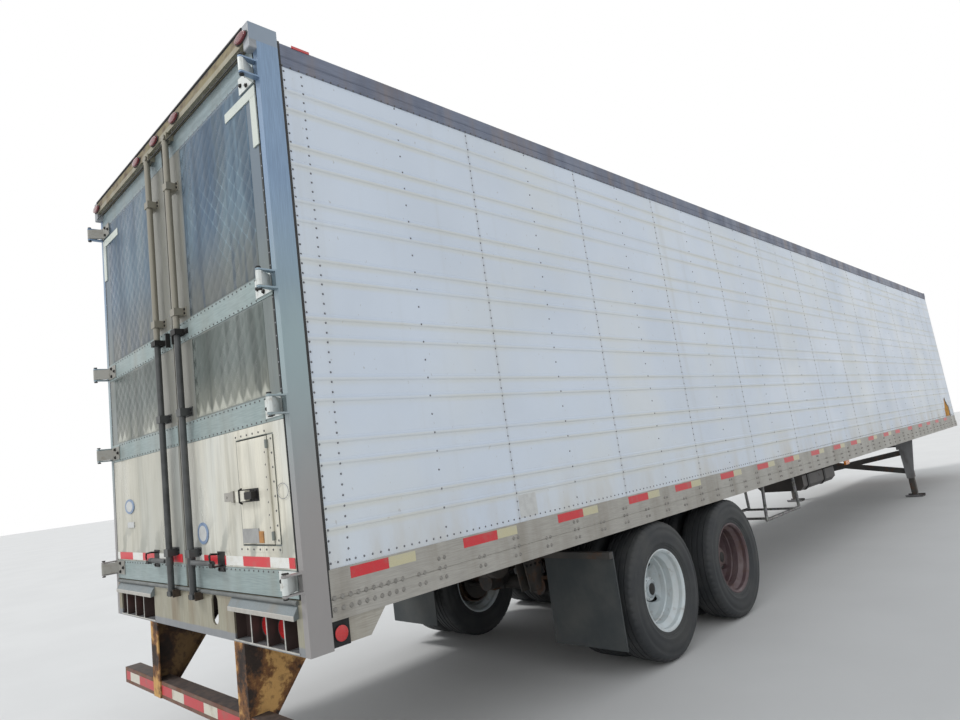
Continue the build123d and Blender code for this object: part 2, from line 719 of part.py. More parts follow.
# Sliding carrier: rails under the crossmembers, cross channels and spring hangers
slider_start = 1960.0
slider_end = 5480.0
slider_low = 860.0
slider_skin = 10.0
axle_middle = sum(axle_places) / 2
hanger_places = [axle_places[0] - 625, axle_middle, axle_places[1] + 625]
hanger_bottom = 600.0
cheek = 9.0
eye_z = seat_top + spring_rise + 22
arm_radius = 20.0
arm_z = hanger_bottom + 38
inner = slider_y - slider_width / 2
outer = slider_y + slider_width / 2
carrier = []
side_rail = block(slider_start, slider_end, inner, outer, slider_low, rail_bottom)
side_rail = side_rail - block(slider_start - 1, slider_end + 1, inner + slider_skin, outer + 1,
                              slider_low + slider_skin, rail_bottom - slider_skin)
carrier.append(side_rail)
for i, x in enumerate(hanger_places):
    half_top = 150.0 if i == 1 else 110.0
    half_low = 105.0 if i == 1 else 60.0
    cheek_plan = [(x - half_top, slider_low), (x + half_top, slider_low), (x + half_low, hanger_bottom),
                  (x - half_low, hanger_bottom)]
    for y in (slider_y - spring_width / 2 - 5 - cheek, slider_y + spring_width / 2 + 5):
        carrier.append(prism_y(cheek_plan, y, y + cheek))
    carrier.append(block(x - half_top, x + half_top, slider_y - spring_width / 2 - 6,
                         slider_y + spring_width / 2 + 6, slider_low - 12, slider_low))
    for end in ((-1, 1) if i == 1 else ((1,) if i == 0 else (-1,))):
        pad_x = x + end * (80.0 if i == 1 else 85.0)
        pad_z = eye_z + 12.3
        carrier.append(rod((pad_x, slider_y - 52, pad_z), (pad_x, slider_y + 52, pad_z), 12))
for x, hanger_x in zip(axle_places, hanger_places[1:]):
    carrier.append(block(x + 80, x + 112, slider_y - 26, slider_y + 26, wheel_z + 15, wheel_z + 75))
    carrier.append(rod((x + 100, slider_y, wheel_z + 45), (hanger_x, slider_y, arm_z), arm_radius))
    carrier.append(rod((hanger_x, slider_y - 44, arm_z), (hanger_x, slider_y + 44, arm_z), arm_radius + 12))
carrier.append(block(flap_x - 40, flap_x, outer - 1, flap_outer, flap_high - 45, flap_high))
half_carrier = fuse(carrier)
ties = []
for x in (slider_start + 30, hanger_places[0], axle_middle, hanger_places[2], slider_end - 90):
    ties.append(block(x, x + 60, -inner - 1, inner + 1, slider_low + 15, rail_bottom - 12))
save("slider_frame", fuse([half_carrier, other_side(half_carrier)] + ties))

# Air tanks hung between the carrier's side rails, in two straps each
air_places = [2300.0, 4700.0]
air_half = 330.0
air_radius = 118.0
air_z = slider_low - 20
air_tanks = []
for x in air_places:
    pieces = [rod((x, -air_half, air_z), (x, air_half, air_z), air_radius)]
    for y in (-air_half + 90, air_half - 90):
        pieces.append(rod((x, y - 18, air_z), (x, y + 18, air_z), air_radius + 4))
        pieces.append(block(x - 40, x + 40, y - 18, y + 18, air_z + air_radius - 10, rail_bottom))
    air_tanks.append(fuse(pieces))
save("air_tanks", air_tanks)

# Mud flaps, behind the rear tyres
flap = block(flap_x, flap_x + flap_thick, flap_inner, flap_outer, flap_low, flap_high)
save("mud_flap_left", flap)
save("mud_flap_right", other_side(flap))

# Landing legs on their mounts, with tapered plates, sand shoes and the crossed braces between them
leg_half = leg_size / 2
leg_low = 340.0
inner_half = leg_half - 12
shoe_top = 16.0
mount_thick = 14.0
plate_thick = 12.0
plate_low = 322.0
plate_outline = [(leg_y - 86, rail_bottom), (leg_y + 160, rail_bottom), (leg_y + leg_half, plate_low),
                 (leg_y - leg_half, plate_low)]
gear_low = 834.0
gear_high = 962.0
leg_bay = int((leg_place - cross_first) // cross_pitch)


def landing_leg():
    """One leg on the left side."""
    pieces = [block(leg_place - leg_half, leg_place + leg_half, leg_y - leg_half, leg_y + leg_half,
                    leg_low, rail_bottom),
              block(leg_place - inner_half, leg_place + inner_half, leg_y - inner_half, leg_y + inner_half,
                    70.0, leg_low + 10),
              block(leg_place - 40, leg_place + 40, leg_y - 40, leg_y + 40, shoe_top - 1, 71.0)]
    shoe = [(leg_place - foot_length / 2, 34.0), (leg_place - foot_length / 2 + 26, 0.0),
            (leg_place + foot_length / 2 - 26, 0.0), (leg_place + foot_length / 2, 34.0),
            (leg_place + foot_length / 2 - 8, 40.0), (leg_place + foot_length / 2 - 34, shoe_top),
            (leg_place - foot_length / 2 + 34, shoe_top), (leg_place - foot_length / 2 + 8, 40.0)]
    pieces.append(prism_y(shoe, leg_y - foot_length / 2, leg_y + foot_length / 2))
    back = leg_place - leg_half
    pieces.append(prism_x(plate_outline, back - plate_thick, back))
    pieces.append(block(cross_x(leg_bay) - cross_flange / 2, cross_x(leg_bay + 1) + cross_flange / 2,
                        leg_y - 86, leg_y + 86, rail_bottom - mount_thick, rail_bottom))
    side = leg_y - leg_half
    pieces.append(block(leg_place - 70, leg_place + 70, side - 60, side + 5, gear_low, gear_high))
    return pieces


leg = fuse(landing_leg())
save("landing_leg_right", other_side(leg))
crank_z = (gear_low + gear_high) / 2
crank_y = leg_y + leg_half
crank = fuse([rod((leg_place, crank_y - 5, crank_z), (leg_place, crank_y + 110, crank_z), 14),
              block(leg_place - 14, leg_place + 14, crank_y + 90, crank_y + 118, crank_z - 330, crank_z + 14),
              rod((leg_place, crank_y + 100, crank_z - 318), (leg_place, crank_y + 190, crank_z - 318), 13)])
save("landing_leg_left", leg + crank)
brace_y = leg_y - leg_half
brace_half = 46.0
brace_top = 780.0
brace_foot = 450.0
brace = prism_x([(brace_y, brace_top - brace_half), (brace_y, brace_top + brace_half),
                 (-brace_y, brace_foot + brace_half), (-brace_y, brace_foot - brace_half)],
                leg_place - 25, leg_place + 25)
shaft_end = leg_y - leg_half - 60
save("leg_braces", [fuse([brace, other_side(brace)]),
                    rod((leg_place, -shaft_end, crank_z), (leg_place, shaft_end, crank_z), 17)])

# Bent-tube rack under the floor
rack_rear_top = cross_x(18)
rack_front_top = cross_x(21)
rack_start = rack_rear_top - 60
rack_end = rack_front_top + 30
rack_z = 605.0
rack_tube = 17.0
rack_ys = [-1010.0, -420.0]
rack = []
for y in rack_ys:
    rack.append(rod((rack_rear_top, y, rail_bottom), (rack_start, y, rack_z), rack_tube))
    rack.append(rod((rack_front_top, y, rail_bottom), (rack_end, y, rack_z), rack_tube))
    rack.append(rod((rack_start, y, rack_z), (rack_end, y, rack_z), rack_tube))
    for x in (rack_start, rack_end):
        rack.append(Sphere(rack_tube).moved(Location((x, y, rack_z))))
for x in (rack_start + 120, rack_end - 120):
    rack.append(rod((x, rack_ys[0], rack_z), (x, rack_ys[1], rack_z), rack_tube * 0.8))
rack_body = fuse(rack) & block(rack_start - 100, rack_end + 100, -1200, 0, 400, rail_bottom)
save("tube_rack", rack_body)

# Fuel tank of the refrigeration unit, in two strap hangers
tank_start = 6950.0
tank_end = 8160.0
tank_ys = (-1080.0, -540.0)
tank_zs = (782.0, 1004.0)
tank_bevel = 50.0
strap_band = 8.0


def tank_outline(grow):
    """The tank's section in y and z, with bevelled corners."""
    y0, y1 = tank_ys[0] - grow, tank_ys[1] + grow
    z0, z1 = tank_zs[0] - grow, tank_zs[1] + grow
    b = tank_bevel + grow * 0.41
    return [(y0 + b, z0), (y1 - b, z0), (y1, z0 + b), (y1, z1 - b), (y1 - b, z1), (y0 + b, z1), (y0, z1 - b),
            (y0, z0 + b)]


save("fuel_tank", prism_x(tank_outline(0), tank_start, tank_end))
straps = []
strap_half_width = 30.0
for place in (22, 24):
    x0 = cross_x(place) - strap_half_width
    x1 = cross_x(place) + strap_half_width
    band = prism_x(tank_outline(strap_band), x0, x1) - prism_x(tank_outline(0.3), x0 - 1, x1 + 1)
    foot = block(x0, x1, tank_ys[0] + 80, tank_ys[1] - 80, tank_zs[1] + strap_band - 1, rail_bottom)
    straps.append(band + foot)
save("tank_straps", straps)

# Refrigeration unit on the nose, with louvres and the engine inside
unit_back = body_length - rail_skin
unit_front = unit_back + unit_depth
unit_half = unit_width / 2


def unit_plan(inset, back):
    """The unit's plan, bevelled at its front corners."""
    half = unit_half - inset
    front = unit_front - inset
    bevel = unit_bevel - inset * 0.59
    return [(back, -half), (front - bevel, -half), (front, -half + bevel), (front, half - bevel),
            (front - bevel, half), (back, half)]


unit = prism_z(unit_plan(0, unit_back), unit_low, unit_high)
unit = unit - prism_z(unit_plan(unit_wall, unit_back - 1), unit_low + unit_wall, unit_high - unit_wall)
grille_half = 800.0
grille_low = unit_high - 670
grille_high = unit_high - 110
louvre_count = 11
louvre_back = unit_front - unit_wall
unit = unit - block(louvre_back - 1, unit_front + 1, -grille_half, grille_half, grille_low, grille_high)
save("unit_shell", unit)
louvre_edge = 12.0
louvres = both([block(louvre_back, louvre_back + 8, grille_half - louvre_edge, grille_half,
                      grille_low, grille_high)])
louvre_pitch = (grille_high - grille_low) / louvre_count
for i in range(louvre_count):
    z = grille_low + (i + 0.5) * louvre_pitch
    slat = prism_y([(louvre_back, z + 14), (louvre_back + 6, z + 16), (unit_front - 2, z - 12),
                    (unit_front - 8, z - 14)], louvre_edge - 1 - grille_half, grille_half - louvre_edge + 1)
    louvres.append(slat)
save("unit_louvres", fuse(louvres))
save("unit_engine", block(unit_back + 60, unit_back + 350, -330, 330, unit_low + unit_wall, unit_low + 620))
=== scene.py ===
"""Finish and small fittings of a refrigerated box semi trailer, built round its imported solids."""

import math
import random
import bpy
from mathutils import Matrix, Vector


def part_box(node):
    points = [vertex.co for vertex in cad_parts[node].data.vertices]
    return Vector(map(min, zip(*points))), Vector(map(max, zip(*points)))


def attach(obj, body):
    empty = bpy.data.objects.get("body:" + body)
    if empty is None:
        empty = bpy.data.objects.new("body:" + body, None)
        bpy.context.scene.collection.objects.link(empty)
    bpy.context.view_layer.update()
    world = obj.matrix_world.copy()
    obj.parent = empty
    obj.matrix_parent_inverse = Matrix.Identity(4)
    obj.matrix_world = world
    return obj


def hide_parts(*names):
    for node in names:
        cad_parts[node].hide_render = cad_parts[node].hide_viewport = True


bl_info = {
    "name": "Box semi trailer finish",
    "version": (1, 0, 0),
    "blender": (4, 5, 0),
    "location": "3D View > Sidebar > Trailer",
    "description": "Adds paint, rivets, tape, tyres and small fittings to a box semi trailer",
    "category": "Object",
}

import bmesh
import bpy
from bpy.props import FloatProperty, FloatVectorProperty, IntProperty, PointerProperty
from mathutils import Vector, noise

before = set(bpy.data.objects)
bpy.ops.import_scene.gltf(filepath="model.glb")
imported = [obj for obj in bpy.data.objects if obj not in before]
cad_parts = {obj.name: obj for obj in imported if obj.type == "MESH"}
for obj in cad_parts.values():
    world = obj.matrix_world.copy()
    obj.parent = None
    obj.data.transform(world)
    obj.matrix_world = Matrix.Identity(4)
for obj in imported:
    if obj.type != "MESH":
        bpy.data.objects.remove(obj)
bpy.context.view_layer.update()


# Places read from the frame, in metres: +X to the nose, +Y to the left, +Z up
def low(node):
    """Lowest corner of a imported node."""
    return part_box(node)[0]


def high(node):
    """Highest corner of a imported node."""
    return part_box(node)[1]


REAR = low("guard_posts").x
HALF = high("bottom_rail_left").y
POST_HALF = high("rear_post_left").y
FLOOR_TOP = high("cargo_floor").z
RAIL_LOW = low("bottom_rail_left").z
RAIL_HIGH = high("top_rail_left").z
SKIRT = low("top_rail_left").z
WALL_TOP = high("side_wall_left").z
WALL_START = low("side_wall_left").x
WALL_END = high("side_wall_left").x
WALL_SKIN = HALF - 0.006
NOSE = high("front_wall").x
DOOR_LOW = low("door_left").z
DOOR_HIGH = high("door_left").z
DOOR_EDGE = high("door_left").y
HEADER_LOW = low("rear_header").z
HEADER_HIGH = high("rear_header").z
SILL_LOW = low("rear_sill").z
SIDES = (("left", 1), ("right", -1))
DOORS = (("left_door", 1), ("right_door", -1))
BACK = (-1, 0, 0)
UP = (0, 0, 1)


def at(x):
    """The frame's x of a place counted from the rear face."""
    return REAR + x


# Places that the finishes and the fittings share
AXLES = (("rear", 3.087), ("front", 4.342))
WHEEL_Z = 0.507
TRACK = 0.984
BEAD_LOW = 1.435
BEAD_PITCH = 0.307
BEAD_GAP = 0.105
BEAD_PAIRS = 8
BEAD_HALF = 0.017
BEAD_DEEP = 0.004
SEAM_FIRST = 1.518
SEAM_PITCH = 1.2268
SEAMS = [SEAM_FIRST + SEAM_PITCH * k for k in range(12)]


# Finishes: node materials on object coordinates
class Finish:
    """A material whose nodes are added by short calls."""

    def __init__(self, name, rough=0.5, metal=0.0):
        self.material = bpy.data.materials.new(name)
        self.material.use_nodes = True
        self.tree = self.material.node_tree
        self.shader = self.tree.nodes["Principled BSDF"]
        self.shader.inputs["Roughness"].default_value = rough
        self.shader.inputs["Metallic"].default_value = metal
        self.place = self.tree.nodes.new("ShaderNodeTexCoord").outputs["Object"]

    def node(self, kind, sources=None, out=0, **settings):
        """A node with its settings, and its inputs as values or other nodes' outputs."""
        return add_node(self.tree, kind, sources, out, **settings)

    def noise(self, scale, stretch=(1, 1, 1), detail=4.0, seed=0.0, rough=0.55):
        """Noise between 0 and 1, stretched along the axes."""
        spot = self.node("ShaderNodeMapping", {0: self.place, 1: (seed, seed * 1.7, -seed), 3: stretch})
        return self.node("ShaderNodeTexNoise",
                         {"Vector": spot, "Scale": scale, "Detail": detail, "Roughness": rough})

    def cells(self, scale, feature="F1", out=0):
        """A pattern of cells: by default the distance from each cell's middle."""
        return self.node("ShaderNodeTexVoronoi", {"Vector": self.place, "Scale": scale}, out, feature=feature)

    def fade(self, value, start, end, to_start=0.0, to_end=1.0):
        """A value run smoothly from one range to another."""
        return self.node("ShaderNodeMapRange", {0: value, 1: start, 2: end, 3: to_start, 4: to_end},
                         interpolation_type="SMOOTHSTEP")

    def math(self, operation, a, b=0.0):
        """Arithmetic on values."""
        return self.node("ShaderNodeMath", {0: a, 1: b}, operation=operation)

    def plus(self, a, b):
        """The sum of two values."""
        return self.math("ADD", a, b)

    def minus(self, a, b):
        """The difference of two values."""
        return self.math("SUBTRACT", a, b)

    def times(self, a, b):
        """The product of two values."""
        return self.math("MULTIPLY", a, b)

    def unsigned(self, value):
        """A value without its sign."""
        return self.math("ABSOLUTE", value)

    def over(self, value, limit):
        """1 where a value is over a limit, and 0 elsewhere."""
        return self.math("GREATER_THAN", value, limit)

    def under(self, value, limit):
        """1 where a value is under a limit, and 0 elsewhere."""
        return self.math("LESS_THAN", value, limit)

    def mix(self, share, a, b):
        """Colour a turned to colour b by a share."""
        return self.node("ShaderNodeMix", {0: share, 6: a, 7: b}, out=2, data_type="RGBA")

    def axis(self, name):
        """One object coordinate: X, Y or Z."""
        return self.node("ShaderNodeSeparateXYZ", {0: self.place}, out=name)

    @property
    def tone(self):
        """The output that the base colour comes from."""
        return self.shader.inputs["Base Color"].links[0].from_socket

    def colour(self, source):
        """The base colour, as a value or an output."""
        put(self.tree, self.shader.inputs["Base Color"], source)
        return self

    def lay(self, share, tint):
        """A tint laid over the base colour by a share."""
        return self.colour(self.mix(share, self.tone, tint))

    def rough(self, source):
        """The roughness, as an output."""
        put(self.tree, self.shader.inputs["Roughness"], source)
        return self

    def bump(self, height, distance, strength=1.0):
        """Relief from a height, in metres."""
        made = self.node("ShaderNodeBump", {"Height": height, "Distance": distance, "Strength": strength})
        self.tree.links.new(made, self.shader.inputs["Normal"])
        return self


def put(tree, socket, source):
    """A socket's link or value."""
    if isinstance(source, bpy.types.NodeSocket):
        tree.links.new(source, socket)
    elif socket.type == "RGBA":
        socket.default_value = (*source[:3], 1.0)
    else:
        socket.default_value = source


def add_node(tree, kind, sources=None, out=0, **settings):
    """One node of a shader or geometry tree; returns its output."""
    made = tree.nodes.new(kind)
    for name, value in settings.items():
        setattr(made, name, value)
    for key, source in (sources or {}).items():
        put(tree, made.inputs[key], source)
    return made.outputs[out]


def shade(tint, share):
    """A tint made darker, or lighter, by a share."""
    return [c * share for c in tint]


DUST_LEVELS = (1.65, 1.22)


def panel_paint(name, tint, seams=False):
    """White sheet paint: slow tone change, faint run marks, dust near the rail and dark specks."""
    f = Finish(name, rough=0.38)
    f.colour(f.mix(f.fade(f.noise(0.7), 0.35, 0.7), tint, shade(tint, 0.92)))
    warm = [tint[0] * 1.06, tint[1], tint[2] * 0.88]
    f.lay(f.fade(f.noise(1.1, (1, 1, 0.6), 3.0, seed=15.0), 0.4, 0.7, 0.0, 0.55), warm)
    f.lay(f.fade(f.noise(5.0, (1, 1, 0.05), 6.0), 0.55, 0.8, 0.0, 0.35), (0.42, 0.42, 0.38))
    patches = f.fade(f.noise(4.0, (1, 1, 0.3)), 0.35, 0.75, 0.0, 0.6)
    f.lay(f.times(f.fade(f.axis("Z"), *DUST_LEVELS), patches), (0.5, 0.46, 0.38))
    f.lay(f.fade(f.noise(38.0, (1, 1, 0.6), 2.0), 0.71, 0.76, 0.0, 0.4), (0.3, 0.27, 0.22))
    if seams:
        lay_seams(f)
        lay_beads(f)
    f.rough(f.fade(f.noise(2.0), 0.3, 0.7, 0.3, 0.5))
    f.bump(f.noise(1.6, (1, 1, 1.4), 2.0), 0.012, 0.5)
    return f


def lay_seams(f):
    """A thin painted shadow along each lap of the side sheets, with a soft darker halo round it."""
    x = f.axis("X")
    along = f.plus(x, -at(SEAM_FIRST) + SEAM_PITCH * 20.5)
    near = f.unsigned(f.minus(f.math("MODULO", along, SEAM_PITCH), SEAM_PITCH / 2))
    ahead = f.over(x, at(SEAM_FIRST - 0.5))
    # painted shadow along the lap's edge, then the soft darker halo
    f.lay(f.times(f.fade(near, 0.003, 0.0015, 0.0, 0.4), ahead), (0.2, 0.21, 0.23))
    f.lay(f.times(f.fade(near, 0.03, 0.0, 0.0, 0.16), ahead), (0.34, 0.33, 0.3))


def lay_beads(f):
    """A yellowish band under each bead of the side wall, partly dirt and partly painted highlight, and a
    painted cool shade above it.
    """
    turn = f.plus(f.axis("Z"), BEAD_PITCH * 10.5 - BEAD_LOW)
    away = f.minus(f.math("MODULO", turn, BEAD_PITCH), BEAD_PITCH / 2)
    for row in (0.0, BEAD_GAP):
        off = f.minus(away, row)
        below = f.times(f.fade(off, -0.048, -0.02), f.fade(off, 0.003, -0.003))
        above = f.times(f.fade(off, 0.026, 0.012), f.fade(off, 0.001, 0.005))
        # patchy strength of the band under each bead, which is dirt and painted highlight
        patchy_share = f.fade(f.noise(1.2, (1, 1, 3.0), 4.0, seed=6.0), 0.3, 0.7, 0.15, 0.5)
        f.lay(f.times(below, patchy_share), (0.6, 0.59, 0.5))
        # painted cool shade on the upper side of each bead
        f.lay(f.times(above, 0.22), (0.4, 0.48, 0.6))


def metal_sheet(name, tint, stain, rough, metal, grain, runs, relief=0.002):
    """Bare sheet metal: fine grain along one axis, dull patches and stains that run down."""
    f = Finish(name, rough, metal)
    f.colour(f.mix(f.fade(f.noise(9.0, grain, 3.0), 0.3, 0.7), tint, shade(tint, 0.8)))
    f.lay(f.fade(f.noise(7.0, (1, 1, 0.12), 6.0, seed=3.0), 0.45, 0.75, 0.0, runs), stain)
    f.rough(f.fade(f.noise(6.0, (1, 1, 0.3), 5.0, seed=1.0), 0.3, 0.75, rough * 0.75, rough * 1.5))
    f.bump(f.noise(2.6, (1, 1, 0.7), 3.0, seed=5.0), relief, 0.8)
    return f


UPPER_SHEET_FOOT = 2.62
OLIVE_LEVELS = (3.2, 2.75)
PALE_LEVELS = (2.36, 2.12)
CREASES_START = (2.8, 3.0)
CREASES_END = (3.55, 3.3)
TEETH_FOOT = 2.105


def quilted_metal(name, tint, stain, light):
    """Embossed stainless sheet: broad reflections, pale creases in patches as painted highlights, dark runs
    and a pale foot.
    """
    f = metal_sheet(name, tint, stain, 0.3, 0.6, (1, 40, 1), 0.75, 0.001)
    sizes = bpy.context.scene.trailer_doors
    y, z = f.axis("Y"), f.axis("Z")
    wide, tall = f.math("DIVIDE", y, sizes.quilt_width), f.math("DIVIDE", z, sizes.quilt_height)
    waves = [f.math("SINE", f.times(slope, math.pi)) for slope in (f.plus(wide, tall), f.minus(wide, tall))]
    pillow = f.math("SQRT", f.unsigned(f.times(*waves)))
    f.lay(f.fade(f.noise(1.7, (1, 1.5, 0.35), 4.0, seed=11.0), 0.35, 0.7, 0.0, 0.75), light)
    f.lay(f.times(f.fade(z, *OLIVE_LEVELS, 0.0, 0.75), f.over(z, UPPER_SHEET_FOOT)), (0.13, 0.13, 0.105))
    f.lay(f.fade(z, *PALE_LEVELS, 0.0, 0.55), (0.27, 0.27, 0.22))
    belt = f.times(f.fade(z, *CREASES_START), f.fade(z, *CREASES_END))
    shown = f.times(f.fade(f.noise(1.5, (1, 1, 0.7), 3.0, seed=21.0), 0.38, 0.56), belt)
    # painted highlights along the creases between the diamonds, in the reflections' colour made brighter
    f.lay(f.times(f.fade(pillow, 0.05, 0.4, 0.75, 0.0), shown), shade(light, 1.25))
    f.lay(f.fade(f.noise(13.0, (1, 1, 0.07), 5.0, seed=17.0), 0.45, 0.62, 0.0, 0.6), shade(tint, 0.55))
    wave = f.math("PINGPONG", f.plus(y, f.times(f.noise(6.0), 0.03)), sizes.quilt_width * 0.5)
    foot = f.minus(f.minus(z, TEETH_FOOT), f.times(wave, 1.5))
    patches = f.fade(f.noise(4.0, (1, 1, 1), 3.0, seed=9.0), 0.42, 0.62)
    return f.lay(f.times(f.fade(foot, 0.02, -0.03, 0.0, 0.75), patches), (0.5, 0.51, 0.44))


STREAK_LEVELS = (1.72, 1.5)


def creased_metal(name):
    """Knocked stainless sheet: pale and yellowish, with grey slanting streaks low down and a painted shadow
    beside the lock rods near the doors' middle.
    """
    f = metal_sheet(name, (0.74, 0.71, 0.6), (0.4, 0.38, 0.31), 0.34, 0.25, (1, 60, 1), 0.7, 0.006)
    y, z = f.axis("Y"), f.axis("Z")
    f.lay(f.fade(f.noise(1.3, (1, 1.6, 0.3), 3.0, seed=13.0), 0.4, 0.7, 0.0, 0.6), (0.56, 0.6, 0.6))
    slope = f.plus(f.times(y, 9.0), f.times(z, 7.0))
    warp = f.plus(slope, f.times(f.noise(5.0, seed=3.0), 3.0))
    streak = f.fade(f.math("SINE", f.times(warp, 2.2)), 0.1, 0.9)
    foot = f.fade(f.plus(z, f.times(f.noise(3.0), 0.25)), *STREAK_LEVELS)
    f.lay(f.times(f.times(streak, foot), 0.65), (0.27, 0.28, 0.25))
    f.lay(f.fade(f.noise(16.0, (1, 1, 0.06), 4.0, seed=23.0), 0.5, 0.62, 0.0, 0.35), (0.34, 0.32, 0.25))
    patches = f.fade(f.noise(1.2, (1, 1, 0.4), 2.0), 0.2, 0.6, 0.6, 1.0)
    f.lay(f.times(f.fade(y, -0.05, 0.12, 0.0, 0.55), patches), (0.3, 0.3, 0.25))
    # painted shadow beside the lock rods, darkest at the doors' middle
    return f.lay(f.fade(f.unsigned(y), 0.26, 0.06, 0.0, 0.5), (0.2, 0.22, 0.22))


POST_GREEN_LEVELS = (3.6, 2.5)
POST_BROWN_LEVELS = (2.6, 1.6)


def post_metal(name):
    """Rear posts: blue high up as a painted reflection of the sky, grey-green half way and brown-grey near
    the ground.
    """
    # the blue base is a painted reflection of the sky
    f = metal_sheet(name, (0.23, 0.33, 0.47), (0.3, 0.3, 0.3), 0.4, 0.45, (40, 40, 1), 0.35)
    z = f.plus(f.axis("Z"), f.times(f.noise(2.0, (1, 1, 0.5)), 0.5))
    f.lay(f.fade(z, *POST_GREEN_LEVELS), (0.28, 0.36, 0.38))
    return f.lay(f.fade(z, *POST_BROWN_LEVELS, 0.0, 0.85), (0.31, 0.28, 0.27))


ROD_LEVELS = (2.62, 2.67)


def rod_metal(name):
    """Lock rods: dark with grime and painted shade, and pale and beige above the upper band."""
    # the dark base is grime and painted shade on galvanised rods
    f = plain(name, (0.085, 0.09, 0.09), 0.42, 0.3, 7.0, 0.55)
    return f.lay(f.fade(f.axis("Z"), *ROD_LEVELS), (0.25, 0.235, 0.19))


BORDER_LEVELS = (2.6, 3.2)


def border_metal(name):
    """Borders of the doors: dull grey-green steel with a near-black line along the hinge edge."""
    f = metal_sheet(name, (0.2, 0.23, 0.225), (0.25, 0.24, 0.19), 0.4, 0.5, (1, 40, 1), 0.6)
    f.lay(f.fade(f.axis("Z"), *BORDER_LEVELS), (0.14, 0.18, 0.22))
    away = f.unsigned(f.axis("Y"))
    f.lay(f.fade(away, 0.32, 0.22), (0.25, 0.25, 0.22))
    return f.lay(f.fade(away, DOOR_EDGE - 0.019, DOOR_EDGE - 0.013), (0.018, 0.022, 0.022))


def sill_metal(name):
    """Rear sill: beige-grey with brown runs, a cold grey lower flange and dark keepers of the lock rods."""
    f = metal_sheet(name, (0.37, 0.35, 0.27), (0.2, 0.145, 0.085), 0.42, 0.5, (1, 20, 1), 0.75)
    rise = f.plus(f.axis("Z"), f.times(f.noise(9.0), 0.012))
    f.lay(f.fade(rise, SILL_LOW + 0.05, SILL_LOW + 0.04), (0.25, 0.26, 0.27))
    iron = f.mix(f.noise(40.0, detail=5.0), (0.03, 0.028, 0.026), (0.1, 0.07, 0.05))
    return f.lay(f.under(f.axis("X"), at(-0.002)), iron)


def worn_paint(name, tint, rust, dust, rough=0.6, wear=0.5, scale=6.0):
    """Chassis paint with rust blooms and road dust."""
    f = Finish(name, rough)
    blooms = f.fade(f.noise(scale, detail=8.0, seed=2.0, rough=0.65), 0.62 - wear * 0.2, 0.7 - wear * 0.1)
    rusty = f.mix(f.noise(scale * 9, detail=5.0), rust, shade(rust, 0.4))
    f.colour(f.mix(f.times(blooms, wear), tint, rusty))
    f.lay(f.fade(f.noise(scale * 0.6, (1, 1, 0.4), 5.0, seed=7.0), 0.35, 0.8, 0.0, 0.55), dust)
    f.rough(f.fade(blooms, 0.0, 1.0, rough, 0.9))
    f.bump(f.noise(scale * 8, detail=6.0), 0.0015, 0.6)
    return f


POST_FLANGE = 0.011


def flaking_rust(name):
    """Steel whose rust has swollen and flaked into orange, brown and black scales, with painted shade on the
    left post's web.
    """
    f = Finish(name, rough=0.9)
    patches = f.noise(4.5, detail=8.0, seed=4.0, rough=0.65)
    f.colour(f.mix(f.fade(patches, 0.42, 0.5), (0.025, 0.016, 0.012), (0.17, 0.075, 0.026)))
    f.lay(f.fade(patches, 0.49, 0.56), (0.5, 0.29, 0.1))
    f.lay(f.fade(f.noise(30.0, detail=6.0), 0.5, 0.7, 0.0, 0.6), (0.09, 0.045, 0.025))
    # painted shade on the left post's web, which faces away from the light
    left = f.times(f.over(f.axis("Y"), 0.0), f.over(f.axis("X"), at(POST_FLANGE)))
    f.lay(f.times(left, 0.75), (0.02, 0.014, 0.011))
    f.bump(f.plus(patches, f.times(f.cells(22.0), 0.35)), 0.012, 0.9)
    return f


def zinc(name, tint, rough=0.45):
    """Dull galvanised steel with a faint spangle and brown grime."""
    f = Finish(name, rough, metal=0.7)
    spangled = f.mix(0.22, tint, f.cells(45.0, out=1))
    f.colour(f.node("ShaderNodeHueSaturation", {"Color": spangled, "Saturation": 0.12, "Value": 1.0}))
    f.lay(f.fade(f.noise(5.0, (1, 1, 0.25), 6.0), 0.45, 0.75, 0.0, 0.65), (0.13, 0.1, 0.075))
    f.rough(f.fade(f.noise(11.0), 0.3, 0.7, rough * 0.8, rough * 1.5))
    f.bump(f.noise(60.0, detail=3.0), 0.0006, 0.5)
    return f


def rubber(name, tint, dust, share=0.5, scale=5.0):
    """Weathered rubber with dust caught in its relief."""
    f = Finish(name, rough=0.78)
    film = f.fade(f.noise(scale, detail=7.0, seed=6.0), 0.35, 0.75, 0.0, share)
    f.colour(f.mix(film, tint, dust))
    f.rough(f.fade(film, 0.0, 1.0, 0.68, 0.92))
    f.bump(f.noise(120.0, detail=4.0), 0.0008, 0.5)
    return f


def lens(name, tint):
    """A moulded plastic lens with fine ribs."""
    f = Finish(name, rough=0.18)
    f.shader.inputs["Coat Weight"].default_value = 0.5
    patchy_share = f.fade(f.noise(18.0), 0.3, 0.8, 0.0, 0.5)
    f.colour(f.mix(patchy_share, tint, [c * 0.6 + 0.03 for c in tint]))
    ribs = f.node("ShaderNodeTexWave", {"Vector": f.place, "Scale": 260.0}, out=1, bands_direction="Z")
    f.bump(ribs, 0.0008, 0.4)
    return f


def tape_film(name, tint, fade_to):
    """Retroreflective film: a fine cell pattern, scuffed and faded."""
    f = Finish(name, rough=0.34)
    cells = f.cells(260.0, "DISTANCE_TO_EDGE")
    f.colour(f.mix(f.fade(cells, 0.0, 0.2, 0.35, 0.0), tint, shade(tint, 0.6)))
    f.lay(f.fade(f.noise(14.0, detail=7.0, seed=9.0), 0.5, 0.74, 0.0, 0.7), fade_to)
    f.bump(cells, 0.0004, 0.4)
    return f


